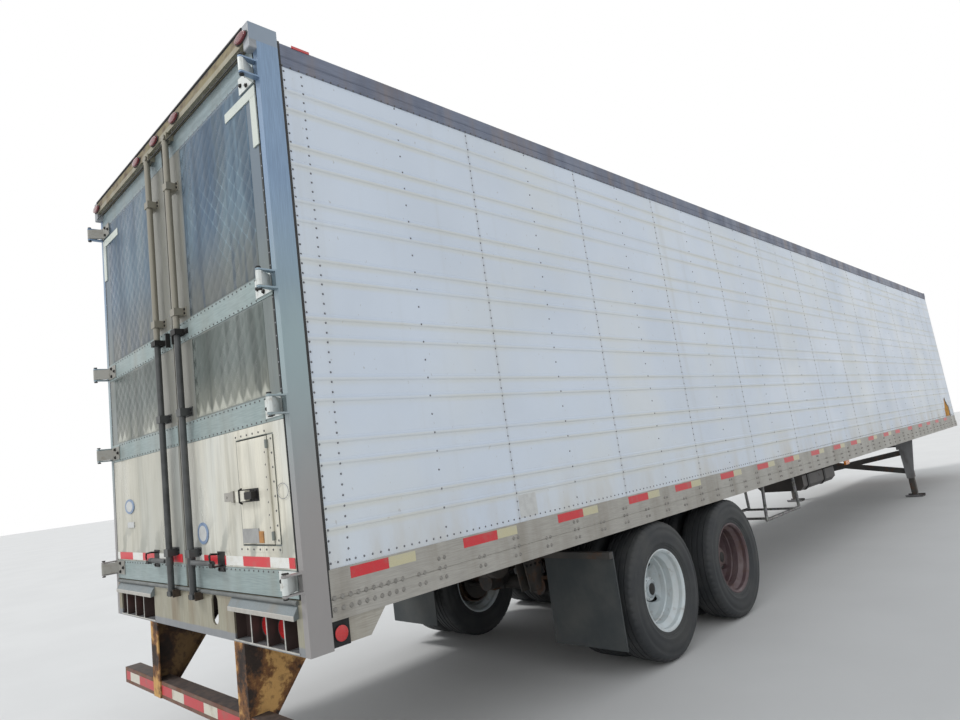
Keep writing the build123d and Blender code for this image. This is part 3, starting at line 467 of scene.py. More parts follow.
def plain(name, tint, rough=0.5, metal=0.0, scale=20.0, spread=0.25, relief=0.0006):
    """A nearly even finish with a little mottling, for small parts."""
    f = Finish(name, rough, metal)
    f.colour(f.mix(f.fade(f.noise(scale, detail=5.0), 0.3, 0.75), tint, shade(tint, 1 - spread)))
    f.bump(f.noise(scale * 4), relief, 0.5)
    return f


STRAP_INNER = 1.0895
STRAP_FACE = 0.0035


def band_coat(name):
    """Door bands in pale blue-green, and the white hinge straps that lie on them, with painted shade on the
    left door's straps.
    """
    f = metal_sheet(name, (0.3, 0.37, 0.365), (0.24, 0.25, 0.22), 0.42, 0.3, (1, 1, 20), 0.5)
    y = f.axis("Y")
    grime = f.fade(f.noise(30.0, detail=6.0), 0.52, 0.72, 0.0, 0.6)
    white = f.mix(grime, (0.62, 0.65, 0.63), (0.33, 0.29, 0.23))
    # painted shade on the hinge straps of the left door
    white = f.mix(f.times(f.over(y, 0.0), 0.7), white, (0.17, 0.15, 0.12))
    return f.lay(f.times(f.over(f.unsigned(y), STRAP_INNER), f.under(f.axis("X"), at(-STRAP_FACE))), white)


SIDE_LAMP_BOX_END = 0.2225


def corner_coat(name):
    """The black side lamp box and the bare gusset plate in front of it."""
    f = metal_sheet(name, (0.42, 0.4, 0.35), (0.25, 0.2, 0.14), 0.5, 0.4, (1, 20, 20), 0.6)
    return f.lay(f.under(f.axis("X"), at(SIDE_LAMP_BOX_END)), (0.02, 0.02, 0.021))


HOOD_DROP = 0.0575
BOX_EDGE = 0.0265


def box_coat(name):
    """Light boxes: a grey hood, pale folded edges and dark brown cells of painted shade."""
    f = metal_sheet(name, (0.2, 0.23, 0.24), (0.2, 0.17, 0.13), 0.45, 0.4, (1, 30, 30), 0.5)
    x = f.axis("X")
    inside = f.times(f.over(x, at(0.0005)), f.under(f.axis("Z"), high("light_boxes").z - HOOD_DROP))
    # painted shade inside the cells behind the hood and dividers
    f.lay(inside, f.mix(f.noise(14.0, detail=5.0), (0.11, 0.075, 0.066), (0.05, 0.037, 0.035)))
    return f.lay(f.under(x, at(-BOX_EDGE)), f.mix(f.noise(30.0), (0.5, 0.49, 0.46), (0.36, 0.34, 0.3)))


LEG_PLATE_FRONT = 12.4465


def leg_coat(name):
    """Landing legs: a bare grey plate behind black painted legs."""
    f = worn_paint(name, BLACK_PAINT, RUST, ROAD_DUST, 0.6, 0.5)
    patches = f.fade(f.noise(9.0, (1, 1, 0.3), 6.0), 0.4, 0.75, 0.0, 0.6)
    grey = f.mix(patches, (0.2, 0.2, 0.205), (0.06, 0.05, 0.045))
    return f.lay(f.under(f.axis("X"), at(LEG_PLATE_FRONT)), grey)


HEADER_RUST_DROP = (0.062, 0.066)
HEADER_EDGE_DROP = (0.014, 0.018)


def header_coat(name):
    """The header: a thin dark top edge, a rusty band, brown-stained steel below it, and blue-grey ends."""
    f = metal_sheet(name, (0.3, 0.28, 0.21), (0.19, 0.13, 0.06), 0.5, 0.45, (1, 20, 1), 0.8)
    drop = f.minus(HEADER_HIGH, f.axis("Z"))
    patches = f.fade(f.noise(26.0, (1, 0.5, 1), 6.0), 0.4, 0.7)
    rust = f.mix(patches, (0.2, 0.165, 0.085), (0.08, 0.05, 0.03))
    f.colour(f.mix(f.fade(drop, *HEADER_RUST_DROP), rust, f.tone))
    f.colour(f.mix(f.fade(drop, *HEADER_EDGE_DROP), (0.07, 0.085, 0.11), f.tone))
    return f.lay(f.over(f.unsigned(f.axis("Y")), POST_HALF - 0.0012), (0.25, 0.3, 0.36))


RIM_INNER = 0.2095
DISC_BACK = 0.0195


def wheel_coat(name, x, paint, rust, dust, wear):
    """Painted rims round an iron hub and drum, told apart by their distance from the axle."""
    f = worn_paint(name, paint, rust, dust, 0.45, wear, 14.0)
    off = f.node("ShaderNodeVectorMath", {0: f.place, 1: (at(x), 0.0, WHEEL_Z)}, operation="SUBTRACT")
    flat = f.node("ShaderNodeVectorMath", {0: off, 1: (1, 0, 1)}, operation="MULTIPLY")
    radius = f.node("ShaderNodeVectorMath", {0: flat}, out=1, operation="LENGTH")
    deep = f.under(f.unsigned(f.axis("Y")), TRACK - DISC_BACK)
    iron = f.mix(f.noise(30.0, detail=6.0), (0.05, 0.045, 0.042), (0.16, 0.09, 0.05))
    return f.lay(f.times(f.under(radius, RIM_INNER), deep), iron)


RUST = (0.2, 0.085, 0.035)
BLACK_PAINT = (0.035, 0.034, 0.033)
ROAD_DUST = (0.12, 0.1, 0.08)
RIM_WHITE, RIM_BROWN = (0.6, 0.66, 0.68), (0.09, 0.055, 0.06)

# Each finish: its maker, then the maker's values
FINISHES = {
    # The side paint's blue tint is painted shade from the sky laid over white paint
    "side_paint": (panel_paint, (0.61, 0.675, 0.76), True),
    "roof_paint": (panel_paint, (0.72, 0.76, 0.8)),
    "post_steel": (post_metal,),
    "sill_steel": (sill_metal,),
    "header_coat": (header_coat,),
    "rail_mill": (metal_sheet, (0.41, 0.395, 0.36), (0.25, 0.225, 0.185), 0.5, 0.35, (1, 30, 30), 0.55),
    "top_rail_mill": (metal_sheet, (0.17, 0.195, 0.26), (0.2, 0.17, 0.165), 0.5, 0.45, (1, 30, 30), 0.75),
    "skin_upper": (quilted_metal, (0.055, 0.11, 0.18), (0.06, 0.085, 0.09), (0.15, 0.225, 0.27)),
    "skin_middle": (quilted_metal, (0.08, 0.105, 0.095), (0.05, 0.065, 0.055), (0.17, 0.2, 0.19)),
    "skin_lower": (creased_metal,),
    "door_border": (border_metal,),
    "band_coat": (band_coat,),
    "band_paint": (metal_sheet, (0.27, 0.34, 0.36), (0.22, 0.24, 0.22), 0.42, 0.3, (1, 1, 20), 0.5),
    "liner_white": (plain, (0.72, 0.73, 0.7), 0.45, 0.0, 3.0, 0.12, 0.001),
    "floor_mill": (metal_sheet, (0.5, 0.5, 0.5), (0.25, 0.22, 0.18), 0.45, 0.6, (1, 20, 20), 0.5),
    "cross_zinc": (zinc, (0.34, 0.33, 0.31)),
    "rod_zinc": (rod_metal,),
    "rack_steel": (zinc, (0.13, 0.125, 0.11), 0.55),
    "box_coat": (box_coat,),
    "corner_coat": (corner_coat,),
    "leg_coat": (leg_coat,),
    "chassis_paint": (worn_paint, BLACK_PAINT, RUST, ROAD_DUST, 0.6, 0.5),
    "spring_rust": (worn_paint, (0.11, 0.06, 0.035), RUST, (0.14, 0.11, 0.08), 0.8, 0.8, 14.0),
    "guard_rust": (flaking_rust,),
    "bar_paint": (worn_paint, (0.13, 0.06, 0.045), RUST, (0.2, 0.16, 0.12), 0.75, 0.8, 12.0),
    "tyre": (rubber, (0.026, 0.029, 0.032), (0.085, 0.085, 0.078), 0.4),
    "flap": (rubber, (0.035, 0.042, 0.045), (0.12, 0.12, 0.11), 0.5, 3.0),
    "seal": (rubber, (0.02, 0.02, 0.02), (0.08, 0.075, 0.065), 0.35, 12.0),
    "grip_black": (rubber, (0.04, 0.03, 0.028), (0.14, 0.1, 0.08), 0.6, 30.0),
    "wheel_white": (wheel_coat, AXLES[0][1], RIM_WHITE, RUST, (0.4, 0.38, 0.33), 0.3),
    "wheel_rust": (wheel_coat, AXLES[1][1], RIM_BROWN, (0.16, 0.1, 0.085), (0.2, 0.17, 0.17), 0.7),
    "hub_iron": (worn_paint, (0.1, 0.09, 0.085), RUST, (0.15, 0.12, 0.1), 0.7, 0.6, 20.0),
    "hub_cap": (plain, (0.42, 0.47, 0.49), 0.45, 0.2, 30.0, 0.4),
    "hub_rust": (plain, (0.13, 0.09, 0.085), 0.6, 0.2, 30.0, 0.5),
    "unit_white": (plain, (0.74, 0.76, 0.78), 0.3, 0.0, 2.0, 0.1, 0.0015),
    "unit_black": (plain, (0.025, 0.026, 0.03), 0.5, 0.0, 12.0, 0.3),
    "iron_block": (worn_paint, (0.12, 0.12, 0.12), RUST, (0.14, 0.12, 0.1), 0.7, 0.3),
    "lamp_red": (lens, (0.55, 0.012, 0.015)),
    "lamp_dull": (lens, (0.17, 0.012, 0.018)),
    "lamp_amber": (lens, (0.7, 0.2, 0.01)),
    "tank_paint": (worn_paint, (0.05, 0.046, 0.044), RUST, (0.12, 0.1, 0.085), 0.5, 0.25),
    "king_steel": (plain, (0.16, 0.14, 0.13), 0.35, 0.9, 30.0, 0.4),
    "tape_red": (tape_film, (0.6, 0.025, 0.035), (0.42, 0.1, 0.09)),
    "tape_white": (tape_film, (0.72, 0.72, 0.68), (0.55, 0.52, 0.44)),
    "tape_yellowed": (tape_film, (0.55, 0.51, 0.33), (0.46, 0.45, 0.37)),
    "tape_faded": (tape_film, (0.6, 0.64, 0.58), (0.5, 0.54, 0.5)),
    "guard_red": (tape_film, (0.48, 0.022, 0.03), (0.26, 0.08, 0.06)),
    "guard_white": (tape_film, (0.58, 0.55, 0.46), (0.36, 0.3, 0.22)),
    "rivet_grey": (plain, (0.3, 0.31, 0.33), 0.42, 0.6),
    "rivet_dark": (plain, (0.12, 0.12, 0.12), 0.5, 0.5),
    "rivet_side": (plain, (0.17, 0.175, 0.19), 0.5, 0.3),
    "bolt_black": (plain, (0.018, 0.017, 0.016), 0.55, 0.3),
    "bolt_rail": (plain, (0.26, 0.25, 0.23), 0.5, 0.4),
    "cap_grey": (plain, (0.34, 0.36, 0.38), 0.5, 0.2, 25.0, 0.35),
    "lip_pale": (plain, (0.5, 0.49, 0.45), 0.45, 0.2, 30.0, 0.3),
    "gutter_grey": (plain, (0.15, 0.16, 0.155), 0.55, 0.0, 14.0, 0.4),
    "foam": (plain, (0.62, 0.3, 0.045), 0.95, 0.0, 16.0, 0.6, 0.006),
    "sealant": (plain, (0.42, 0.2, 0.06), 0.7, 0.0, 30.0, 0.4, 0.002),
    "blank_plate": (plain, (0.55, 0.56, 0.55), 0.45, 0.2, 30.0, 0.15),
    "bare_label": (plain, (0.32, 0.32, 0.31), 0.5, 0.1, 18.0, 0.25),
    "sticker_rim": (plain, (0.2, 0.28, 0.42), 0.4, 0.0, 40.0, 0.3),
}
finishes = {}


def finish(name):
    """The named finish, made when first asked for."""
    if name not in finishes:
        maker, *values = FINISHES[name]
        finishes[name] = maker(name, *values).material
    return finishes[name]


# Meshes
SAME_POINT = 0.00005


class Shape:
    """Points and faces gathered for one piece, in metres in the trailer's frame."""

    def __init__(self):
        self.points = []
        self.faces = []

    def add(self, points, faces):
        """More points, and faces that count from the first of them."""
        start = len(self.points)
        self.points += [Vector(p) for p in points]
        self.faces += [[start + i for i in face] for face in faces]
        return self

    def box(self, x0, x1, y0, y1, z0, z1):
        """A block between two corners."""
        return self.prism([(x0, y0, z0), (x1, y0, z0), (x1, y1, z0), (x0, y1, z0)], (0, 0, z1 - z0))

    def prism(self, outline, push):
        """An outline of points pushed along a direction."""
        n = len(outline)
        top = [Vector(p) + Vector(push) for p in outline]
        walls = [[i, (i + 1) % n, n + (i + 1) % n, n + i] for i in range(n)]
        return self.add(list(outline) + top, walls + [list(range(n))[::-1], list(range(n, 2 * n))])

    def lathe(self, profile, centre, steps=24, axis="Y", side=1, closed=True):
        """A profile of (radius, place along the axis) turned about an axis through centre."""
        along, a, b = {"Y": (1, 0, 2), "X": (0, 1, 2), "Z": (2, 0, 1)}[axis]
        points = []
        for k in range(steps):
            turn = math.tau * k / steps
            for radius, place in profile:
                spot = [0.0, 0.0, 0.0]
                spot[along] = centre[along] + side * place
                spot[a] = centre[a] + radius * math.cos(turn)
                spot[b] = centre[b] + radius * math.sin(turn)
                points.append(spot)
        return self.add(points, grid_faces(steps, len(profile), True, closed))

    def disc(self, centre, radius, depth, axis="X", side=1, steps=20):
        """A short round boss with a bevelled rim."""
        edge = 0.2 * min(radius, depth)
        profile = [(0.0, 0), (radius, 0), (radius, depth - edge), (radius - edge, depth), (0.0, depth)]
        return self.lathe(profile, centre, steps, axis, side, closed=False)

    def tube(self, path, radius, sides=10):
        """A round bar along a polyline."""
        path = [Vector(p) for p in path]
        points = []
        last = len(path) - 1
        ahead = (path[1] - path[0]).normalized()
        across = ahead.orthogonal().normalized()
        for i, p in enumerate(path):
            before = (path[i] - path[max(i - 1, 0)]).normalized() if i else ahead
            after = (path[min(i + 1, last)] - path[i]).normalized() if i < last else before
            mid = (before + after).normalized()
            across = (across - mid * across.dot(mid)).normalized()
            up = mid.cross(across)
            grow = 1 / max(mid.dot(after), 0.5)
            for k in range(sides):
                turn = math.tau * k / sides
                points.append(p + (across * math.cos(turn) + up * math.sin(turn)) * radius * grow)
        faces = grid_faces(len(path), sides, False, True)
        return self.add(points, faces + [list(range(sides))[::-1], [last * sides + k for k in range(sides)]])

    def mirrored(self):
        """The same with its copy on the other side of the middle plane."""
        n = len(self.points)
        self.points += [Vector((p.x, -p.y, p.z)) for p in self.points]
        self.faces += [[n + i for i in face[::-1]] for face in self.faces[:]]
        return self

    def piece(self, name, body, coat, slot, bevel=0.0, smooth=0.0):
        """The finished object: riding on its body, with its finish; the record's slot is not used."""
        mesh = bpy.data.meshes.new(name)
        mesh.from_pydata(self.points, [], self.faces)
        made = link(name, mesh)
        work = bmesh.new()
        work.from_mesh(mesh)
        bmesh.ops.remove_doubles(work, verts=work.verts, dist=SAME_POINT)
        bmesh.ops.recalc_face_normals(work, faces=work.faces)
        work.to_mesh(mesh)
        work.free()
        mesh.materials.append(finish(coat))
        if bevel:
            modifier = made.modifiers.new("Bevel", "BEVEL")
            modifier.width = bevel
            modifier.segments = 2
            modifier.limit_method = "ANGLE"
            settle(made)
        if smooth:
            soften(made.data, smooth)
        return dress(made, body)


def grid_faces(rows, columns, rows_closed, columns_closed):
    """Four-sided faces of a grid of points that may close on itself."""
    faces = []
    for i in range(rows if rows_closed else rows - 1):
        for j in range(columns if columns_closed else columns - 1):
            a, b = (i + 1) % rows, (j + 1) % columns
            faces.append([i * columns + j, a * columns + j, a * columns + b, i * columns + b])
    return faces


def link(name, mesh):
    """A mesh as an object in the scene."""
    made = bpy.data.objects.new(name, mesh)
    bpy.context.scene.collection.objects.link(made)
    return made


def settle(made):
    """Modifiers turned into plain mesh."""
    bpy.context.view_layer.update()
    done = bpy.data.meshes.new_from_object(made.evaluated_get(bpy.context.evaluated_depsgraph_get()))
    made.modifiers.clear()
    made.data = done


def soften(mesh, degrees):
    """Smooth shading with edges kept sharp beyond an angle."""
    mesh.shade_smooth()
    mesh.set_sharp_from_angle(angle=math.radians(degrees))


def dress(made, body):
    """A piece that rides on a body."""
    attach(made, body)
    return made


# Geometry Nodes: heads of one kind along the edges of a wire mesh, and rings of nuts
def new_group(name, inputs):
    """A node group with named inputs and one mesh output; returns it with what it is given."""
    tree = bpy.data.node_groups.new(name, "GeometryNodeTree")
    tree.is_modifier = True
    for title, kind in inputs:
        tree.interface.new_socket(title, in_out="INPUT", socket_type="NodeSocket" + kind)
    tree.interface.new_socket("Geometry", in_out="OUTPUT", socket_type="NodeSocketGeometry")
    return tree, tree.nodes.new("NodeGroupInput").outputs


def cone(tree, sides, bottom, top, depth):
    """A cone of a node group, as its number of sides, two radii and depth."""
    return add_node(tree, "GeometryNodeMeshCone",
                    {"Vertices": sides, "Radius Top": top, "Radius Bottom": bottom, "Depth": depth})


def end_group(tree, solid, coat):
    """The finish of a node group's mesh, and its way out."""
    coated = add_node(tree, "GeometryNodeSetMaterial", {"Geometry": solid, "Material": coat})
    tree.links.new(coated, tree.nodes.new("NodeGroupOutput").inputs[0])
    return tree


def run_group(made, tree, values):
    """A node group run on an object with values for its inputs, and turned into plain mesh."""
    modifier = made.modifiers.new(tree.name, "NODES")
    modifier.node_group = tree
    for item in tree.interface.items_tree:
        if item.in_out == "INPUT" and item.name in values:
            modifier[item.identifier] = values[item.name]
    settle(made)


def head_rows_tree():
    """The node group of rows of heads, with its sizes as named inputs."""
    tree, given = new_group("Head rows", (("Geometry", "Geometry"), ("Pitch", "Float"), ("Radius", "Float"),
                                          ("Top radius", "Float"), ("Height", "Float"), ("Sides", "Int"),
                                          ("Finish", "Material")))
    curve = add_node(tree, "GeometryNodeMeshToCurve", {"Mesh": given["Geometry"]})
    rows = add_node(tree, "GeometryNodeResampleCurve",
                    {"Curve": curve, "Length": given["Pitch"]}, mode="LENGTH")
    head = cone(tree, given["Sides"], given["Radius"], given["Top radius"], given["Height"])
    facing = add_node(tree, "GeometryNodeInputNamedAttribute", {"Name": "facing"}, data_type="FLOAT_VECTOR")
    turn = add_node(tree, "FunctionNodeAlignRotationToVector", {"Vector": facing}, axis="Z")
    heads = add_node(tree, "GeometryNodeInstanceOnPoints",
                     {"Points": rows, "Instance": head, "Rotation": turn})
    solid = add_node(tree, "GeometryNodeRealizeInstances", {"Geometry": heads})
    return end_group(tree, solid, given["Finish"])


def head_rows(name, body, rows, slot, coat, pitch, radius, height, top=0.6, sides=8):
    """Rivets or bolt heads along rows of (start, end, facing)."""
    tree = bpy.data.node_groups.get("Head rows") or head_rows_tree()
    mesh = bpy.data.meshes.new(name)
    facings = {}
    for start, end, way in rows:
        facings.setdefault(start, way)
        facings.setdefault(end, way)
    places = {point: number for number, point in enumerate(facings)}
    mesh.from_pydata(list(places), [(places[start], places[end]) for start, end, _ in rows], [])
    facing = mesh.attributes.new("facing", "FLOAT_VECTOR", "POINT")
    facing.data.foreach_set("vector", [c for way in facings.values() for c in way])
    made = link(name, mesh)
    run_group(made, tree, {"Pitch": pitch, "Radius": radius, "Top radius": radius * top, "Height": height,
                           "Sides": sides, "Finish": finish(coat)})
    return dress(made, body)


def column(x, y, z0, z1, facing):
    """A row of heads that runs up."""
    return ((x, y, z0), (x, y, z1), facing)


def level(x0, x1, y, z, facing):
    """A row of heads that runs along the trailer."""
    return ((x0, y, z), (x1, y, z), facing)


def across(x, y0, y1, z, facing):
    """A row of heads that runs across the trailer."""
    return ((x, y0, z), (x, y1, z), facing)


# Shares of a nut's radius for its top, washer and stud, and of its depth for its washer and stud
NUT_WIDTHS = (0.72, 1.22, 0.5)
NUT_DEPTHS = (0.28, 1.45)


def nut_ring_tree():
    """The node group of a ring of nuts: each a six-sided cone with its washer and stud."""
    tree, given = new_group("Nut ring", (("Centre", "Vector"), ("Facing", "Vector"), ("Circle", "Float"),
                                         ("Count", "Int"), ("Radius", "Float"), ("Depth", "Float"),
                                         ("Finish", "Material")))
    radius, depth = given["Radius"], given["Depth"]
    circle = add_node(tree, "GeometryNodeMeshCircle", {"Vertices": given["Count"], "Radius": given["Circle"]})
    top, washer_radius, stud_radius = (scaled(tree, radius, share) for share in NUT_WIDTHS)
    washer_depth, stud_depth = (scaled(tree, depth, share) for share in NUT_DEPTHS)
    nut = cone(tree, 6, radius, top, depth)
    washer = cone(tree, 14, washer_radius, radius, washer_depth)
    stud = cone(tree, 8, stud_radius, stud_radius, stud_depth)
    join = tree.nodes.new("GeometryNodeJoinGeometry")
    for part in (nut, washer, stud):
        tree.links.new(part, join.inputs[0])
    rings = add_node(tree, "GeometryNodeInstanceOnPoints", {"Points": circle, "Instance": join.outputs[0]})
    turn = add_node(tree, "FunctionNodeAlignRotationToVector", {"Vector": given["Facing"]}, axis="Z")
    placed = add_node(tree, "GeometryNodeTransform",
                      {"Geometry": rings, "Translation": given["Centre"], "Rotation": turn})
    solid = add_node(tree, "GeometryNodeRealizeInstances", {"Geometry": placed})
    return end_group(tree, solid, given["Finish"])


def scaled(tree, value, share):
    """A value of a node group times a share."""
    return add_node(tree, "ShaderNodeMath", {0: value, 1: share}, operation="MULTIPLY")


def nut_ring(name, body, centre, facing, coat, slot, circle, count, radius, depth):
    """A ring of nuts on studs."""
    tree = bpy.data.node_groups.get("Nut ring") or nut_ring_tree()
    made = link(name, bpy.data.meshes.new(name))
    run_group(made, tree, {"Centre": centre, "Facing": facing, "Circle": circle, "Count": count,
                           "Radius": radius, "Depth": depth, "Finish": finish(coat)})
    return dress(made, body)


# Sizes and colours that a user would change
class WallSettings(bpy.types.PropertyGroup):
    """Sizes of the walls' and rails' repeated details."""

    rivet_radius: FloatProperty(name="Rivet radius", description="Radius of a side panel rivet head",
                                default=0.006, min=0.002, unit="LENGTH")
    seam_pitch: FloatProperty(name="Seam rivet pitch", description="Spacing of the rivets along a panel lap",
                              default=0.0508, min=0.01, unit="LENGTH")
    edge_pitch: FloatProperty(name="Edge rivet pitch", description="Spacing of the rivets at a panel's edge",
                              default=0.0508, min=0.01, unit="LENGTH")
    tape_length: FloatProperty(name="Tape length", description="Length of one red strip along a bottom rail",
                               default=0.28, min=0.05, max=0.4, unit="LENGTH")


class DoorSettings(bpy.types.PropertyGroup):
    """Sizes of the embossed door sheets."""

    quilt_width: FloatProperty(name="Diamond width", description="Width of one embossed diamond",
                               default=0.094, min=0.03, unit="LENGTH")
    quilt_height: FloatProperty(name="Diamond height", description="Height of one embossed diamond",
                                default=0.105, min=0.03, unit="LENGTH")
    quilt_depth: FloatProperty(name="Emboss depth", description="Height of the pillow inside a diamond",
                               default=0.0038, min=0.0, unit="LENGTH")
    crease_depth: FloatProperty(name="Crease depth", description="Depth of the dents in the lower sheets",
                                default=0.0042, min=0.0, unit="LENGTH")


class TyreSettings(bpy.types.PropertyGroup):
    """Sizes of the tyre tread."""

    pitches: IntProperty(name="Tread pitches", description="Number of notches round a tyre",
                         default=56, min=12)
    groove: FloatProperty(name="Groove depth", description="Depth of the grooves round a tyre",
                          default=0.011, min=0.001, unit="LENGTH")
    notch: FloatProperty(name="Notch depth", description="Depth of the notches in the shoulder ribs",
                         default=0.006, min=0.0, unit="LENGTH")


class StageSettings(bpy.types.PropertyGroup):
    """Light and floor."""

    floor_tint: FloatVectorProperty(name="Floor colour", description="Colour of the floor", subtype="COLOR",
                                    default=(0.62, 0.62, 0.61), min=0.0, max=1.0)
    key_strength: FloatProperty(name="Key light", description="Strength of the soft sun",
                                default=1.5, min=0.0)
    fill_strength: FloatProperty(name="Fill light", description="Strength of the broad light from the rear",
                                 default=0.45, min=0.0)
    sky_strength: FloatProperty(name="Sky light", description="Strength of the even light",
                                default=0.8, min=0.0)


# The stage: camera, light and floor
CAMERA_PLACE = (-1.573, -3.971, 1.68)
CAMERA_TURN = (99.192, 7.263, -43.187)
SENSOR_WIDTH = 36.0
FOCAL_SHARE = 650.951 / 960
SHIFT = (0.0377, -0.0051)
SIGHT_END = 400.0
KEY_TURN, KEY_ANGLE = (42, 0, -128), 12
FILL_TURN, FILL_ANGLE = (62, 0, -62), 60
FLOOR_REACH = 70.0


def place_camera():
    """Camera at the photograph's angle; its place is counted from the rear face."""
    camera = bpy.data.objects.new("Camera", bpy.data.cameras.new("Camera"))
    bpy.context.scene.collection.objects.link(camera)
    x, y, z = CAMERA_PLACE
    camera.location = (at(x), y, z)
    camera.rotation_euler = [math.radians(a) for a in CAMERA_TURN]
    camera.data.sensor_width = SENSOR_WIDTH
    camera.data.lens = SENSOR_WIDTH * FOCAL_SHARE
    camera.data.shift_x, camera.data.shift_y = SHIFT
    camera.data.clip_end = SIGHT_END
    bpy.context.scene.camera = camera


def place_sun(name, turn, strength, angle):
    """A soft sun of some strength, as wide as an angle in degrees."""
    lamp = bpy.data.lights.new(name, "SUN")
    lamp.energy = strength
    lamp.angle = math.radians(angle)
    sun = bpy.data.objects.new(name, lamp)
    sun.rotation_euler = [math.radians(a) for a in turn]
    bpy.context.scene.collection.objects.link(sun)


def make_sky(strength):
    """Even pale light, seen as white by the camera and in reflections."""
    world = bpy.data.worlds.new("Studio")
    bpy.context.scene.world = world
    world.use_nodes = True
    tree = world.node_tree
    tree.nodes.clear()
    path = tree.nodes.new("ShaderNodeLightPath").outputs
    seen = path["Is Camera Ray"]
    for name in ("Is Glossy Ray", "Is Transmission Ray"):
        seen = add_node(tree, "ShaderNodeMath", {0: seen, 1: path[name]}, operation="MAXIMUM")
    even = add_node(tree, "ShaderNodeBackground", {"Color": (0.93, 0.96, 1.0), "Strength": strength})
    white = add_node(tree, "ShaderNodeBackground", {"Color": (1.0, 1.0, 1.0), "Strength": 1.0})
    mixed = add_node(tree, "ShaderNodeMixShader", {0: seen, 1: even, 2: white})
    tree.links.new(mixed, tree.nodes.new("ShaderNodeOutputWorld").inputs[0])
    bpy.context.scene.view_settings.view_transform = "Standard"


def lay_floor(tint):
    """A pale plain floor."""
    mesh = bpy.data.meshes.new("Floor")
    near, far = -FLOOR_REACH, FLOOR_REACH
    mesh.from_pydata([(near, near, 0), (far, near, 0), (far, far, 0), (near, far, 0)], [], [(0, 1, 2, 3)])
    floor = link("Floor", mesh)
    f = Finish("pale_floor", 0.85)
    f.colour(f.mix(f.fade(f.noise(0.8), 0.3, 0.7), tint, shade(tint, 0.96)))
    mesh.materials.append(f.material)


def make_stage(stage):
    """Camera, even light and floor."""
    place_camera()
    place_sun("Key", KEY_TURN, stage.key_strength, KEY_ANGLE)
    place_sun("Fill", FILL_TURN, stage.fill_strength, FILL_ANGLE)
    make_sky(stage.sky_strength)
    lay_floor(tuple(stage.floor_tint))


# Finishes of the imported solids
NODE_COATS = {
    "side_paint": ["side_wall_left", "side_wall_right"],
    "roof_paint": ["front_wall", "roof"],
    "floor_mill": ["cargo_floor"],
    "top_rail_mill": ["top_rail_left", "top_rail_right", "front_top_rail"],
    "rail_mill": ["bottom_rail_left", "bottom_rail_right", "front_bottom_rail"],
    "cross_zinc": ["crossmembers"],
    "rack_steel": ["tube_rack"],
    "chassis_paint": ["coupler_box", "axle_rear", "axle_front", "slider_frame", "air_tanks", "leg_braces"],
    "leg_coat": ["landing_leg_left", "landing_leg_right"],
    "spring_rust": ["coupler_plate", "leaf_springs"],
    "king_steel": ["kingpin"],
    "post_steel": ["rear_post_left", "rear_post_right"],
    "header_coat": ["rear_header"],
    "sill_steel": ["rear_sill"],
    "box_coat": ["light_boxes"],
    "lamp_red": ["tail_lamps", "marker_lamps"],
    "corner_coat": ["side_lamp_left", "side_lamp_right"],
    "guard_rust": ["guard_posts"],
    "bar_paint": ["guard_bar"],
    "flap": ["mud_flap_left", "mud_flap_right"],
    "tank_paint": ["fuel_tank"],
    "bolt_black": ["tank_straps"],
    "rod_zinc": ["lock_rod_right", "lock_rod_left"],
    "unit_white": ["unit_shell"],
    "unit_black": ["unit_louvres"],
    "iron_block": ["unit_engine"],
    "door_border": ["door_right", "door_left"],
    "band_coat": ["hinge_bands_right", "hinge_bands_left"],
    "skin_lower": ["vent_hatch"],
    "tyre": ["tyres_rear_left", "tyres_rear_right", "tyres_front_left", "tyres_front_right"],
    "wheel_white": ["wheels_rear_left", "wheels_rear_right"],
    "wheel_rust": ["wheels_front_left", "wheels_front_right"],
}


def coat_nodes():
    """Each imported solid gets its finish."""
    for coat, nodes in NODE_COATS.items():
        for node in nodes:
            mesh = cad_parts[node].data
            mesh.materials.clear()
            mesh.materials.append(finish(coat))


# Side walls and rails
EDGE_IN = 0.025
STUD_START = 0.073
STUD_COLUMN = 0.259
POST_COLUMN = WALL_START - REAR + 0.031
WALL_RIVET_HEIGHT = 0.0035
RAIL_RIVET_RADIUS, RAIL_RIVET_HEIGHT = 0.0065, 0.004


def wall_column(x, sign, z0, z1):
    """A row of heads that runs up the wall and over its beads."""
    flat, proud = sign * WALL_SKIN, sign * (WALL_SKIN + BEAD_DEEP)
    path = [(x, flat, z0)]
    for pair in range(BEAD_PAIRS):
        for row in (0, 1):
            z = BEAD_LOW + BEAD_PITCH * pair + BEAD_GAP * row
            path += [(x, flat, z - BEAD_HALF), (x, proud, z - BEAD_HALF / 2), (x, proud, z + BEAD_HALF / 2),
                     (x, flat, z + BEAD_HALF)]
    path.append((x, flat, z1))
    return [(start, end, (0, sign, 0)) for start, end in zip(path, path[1:])]


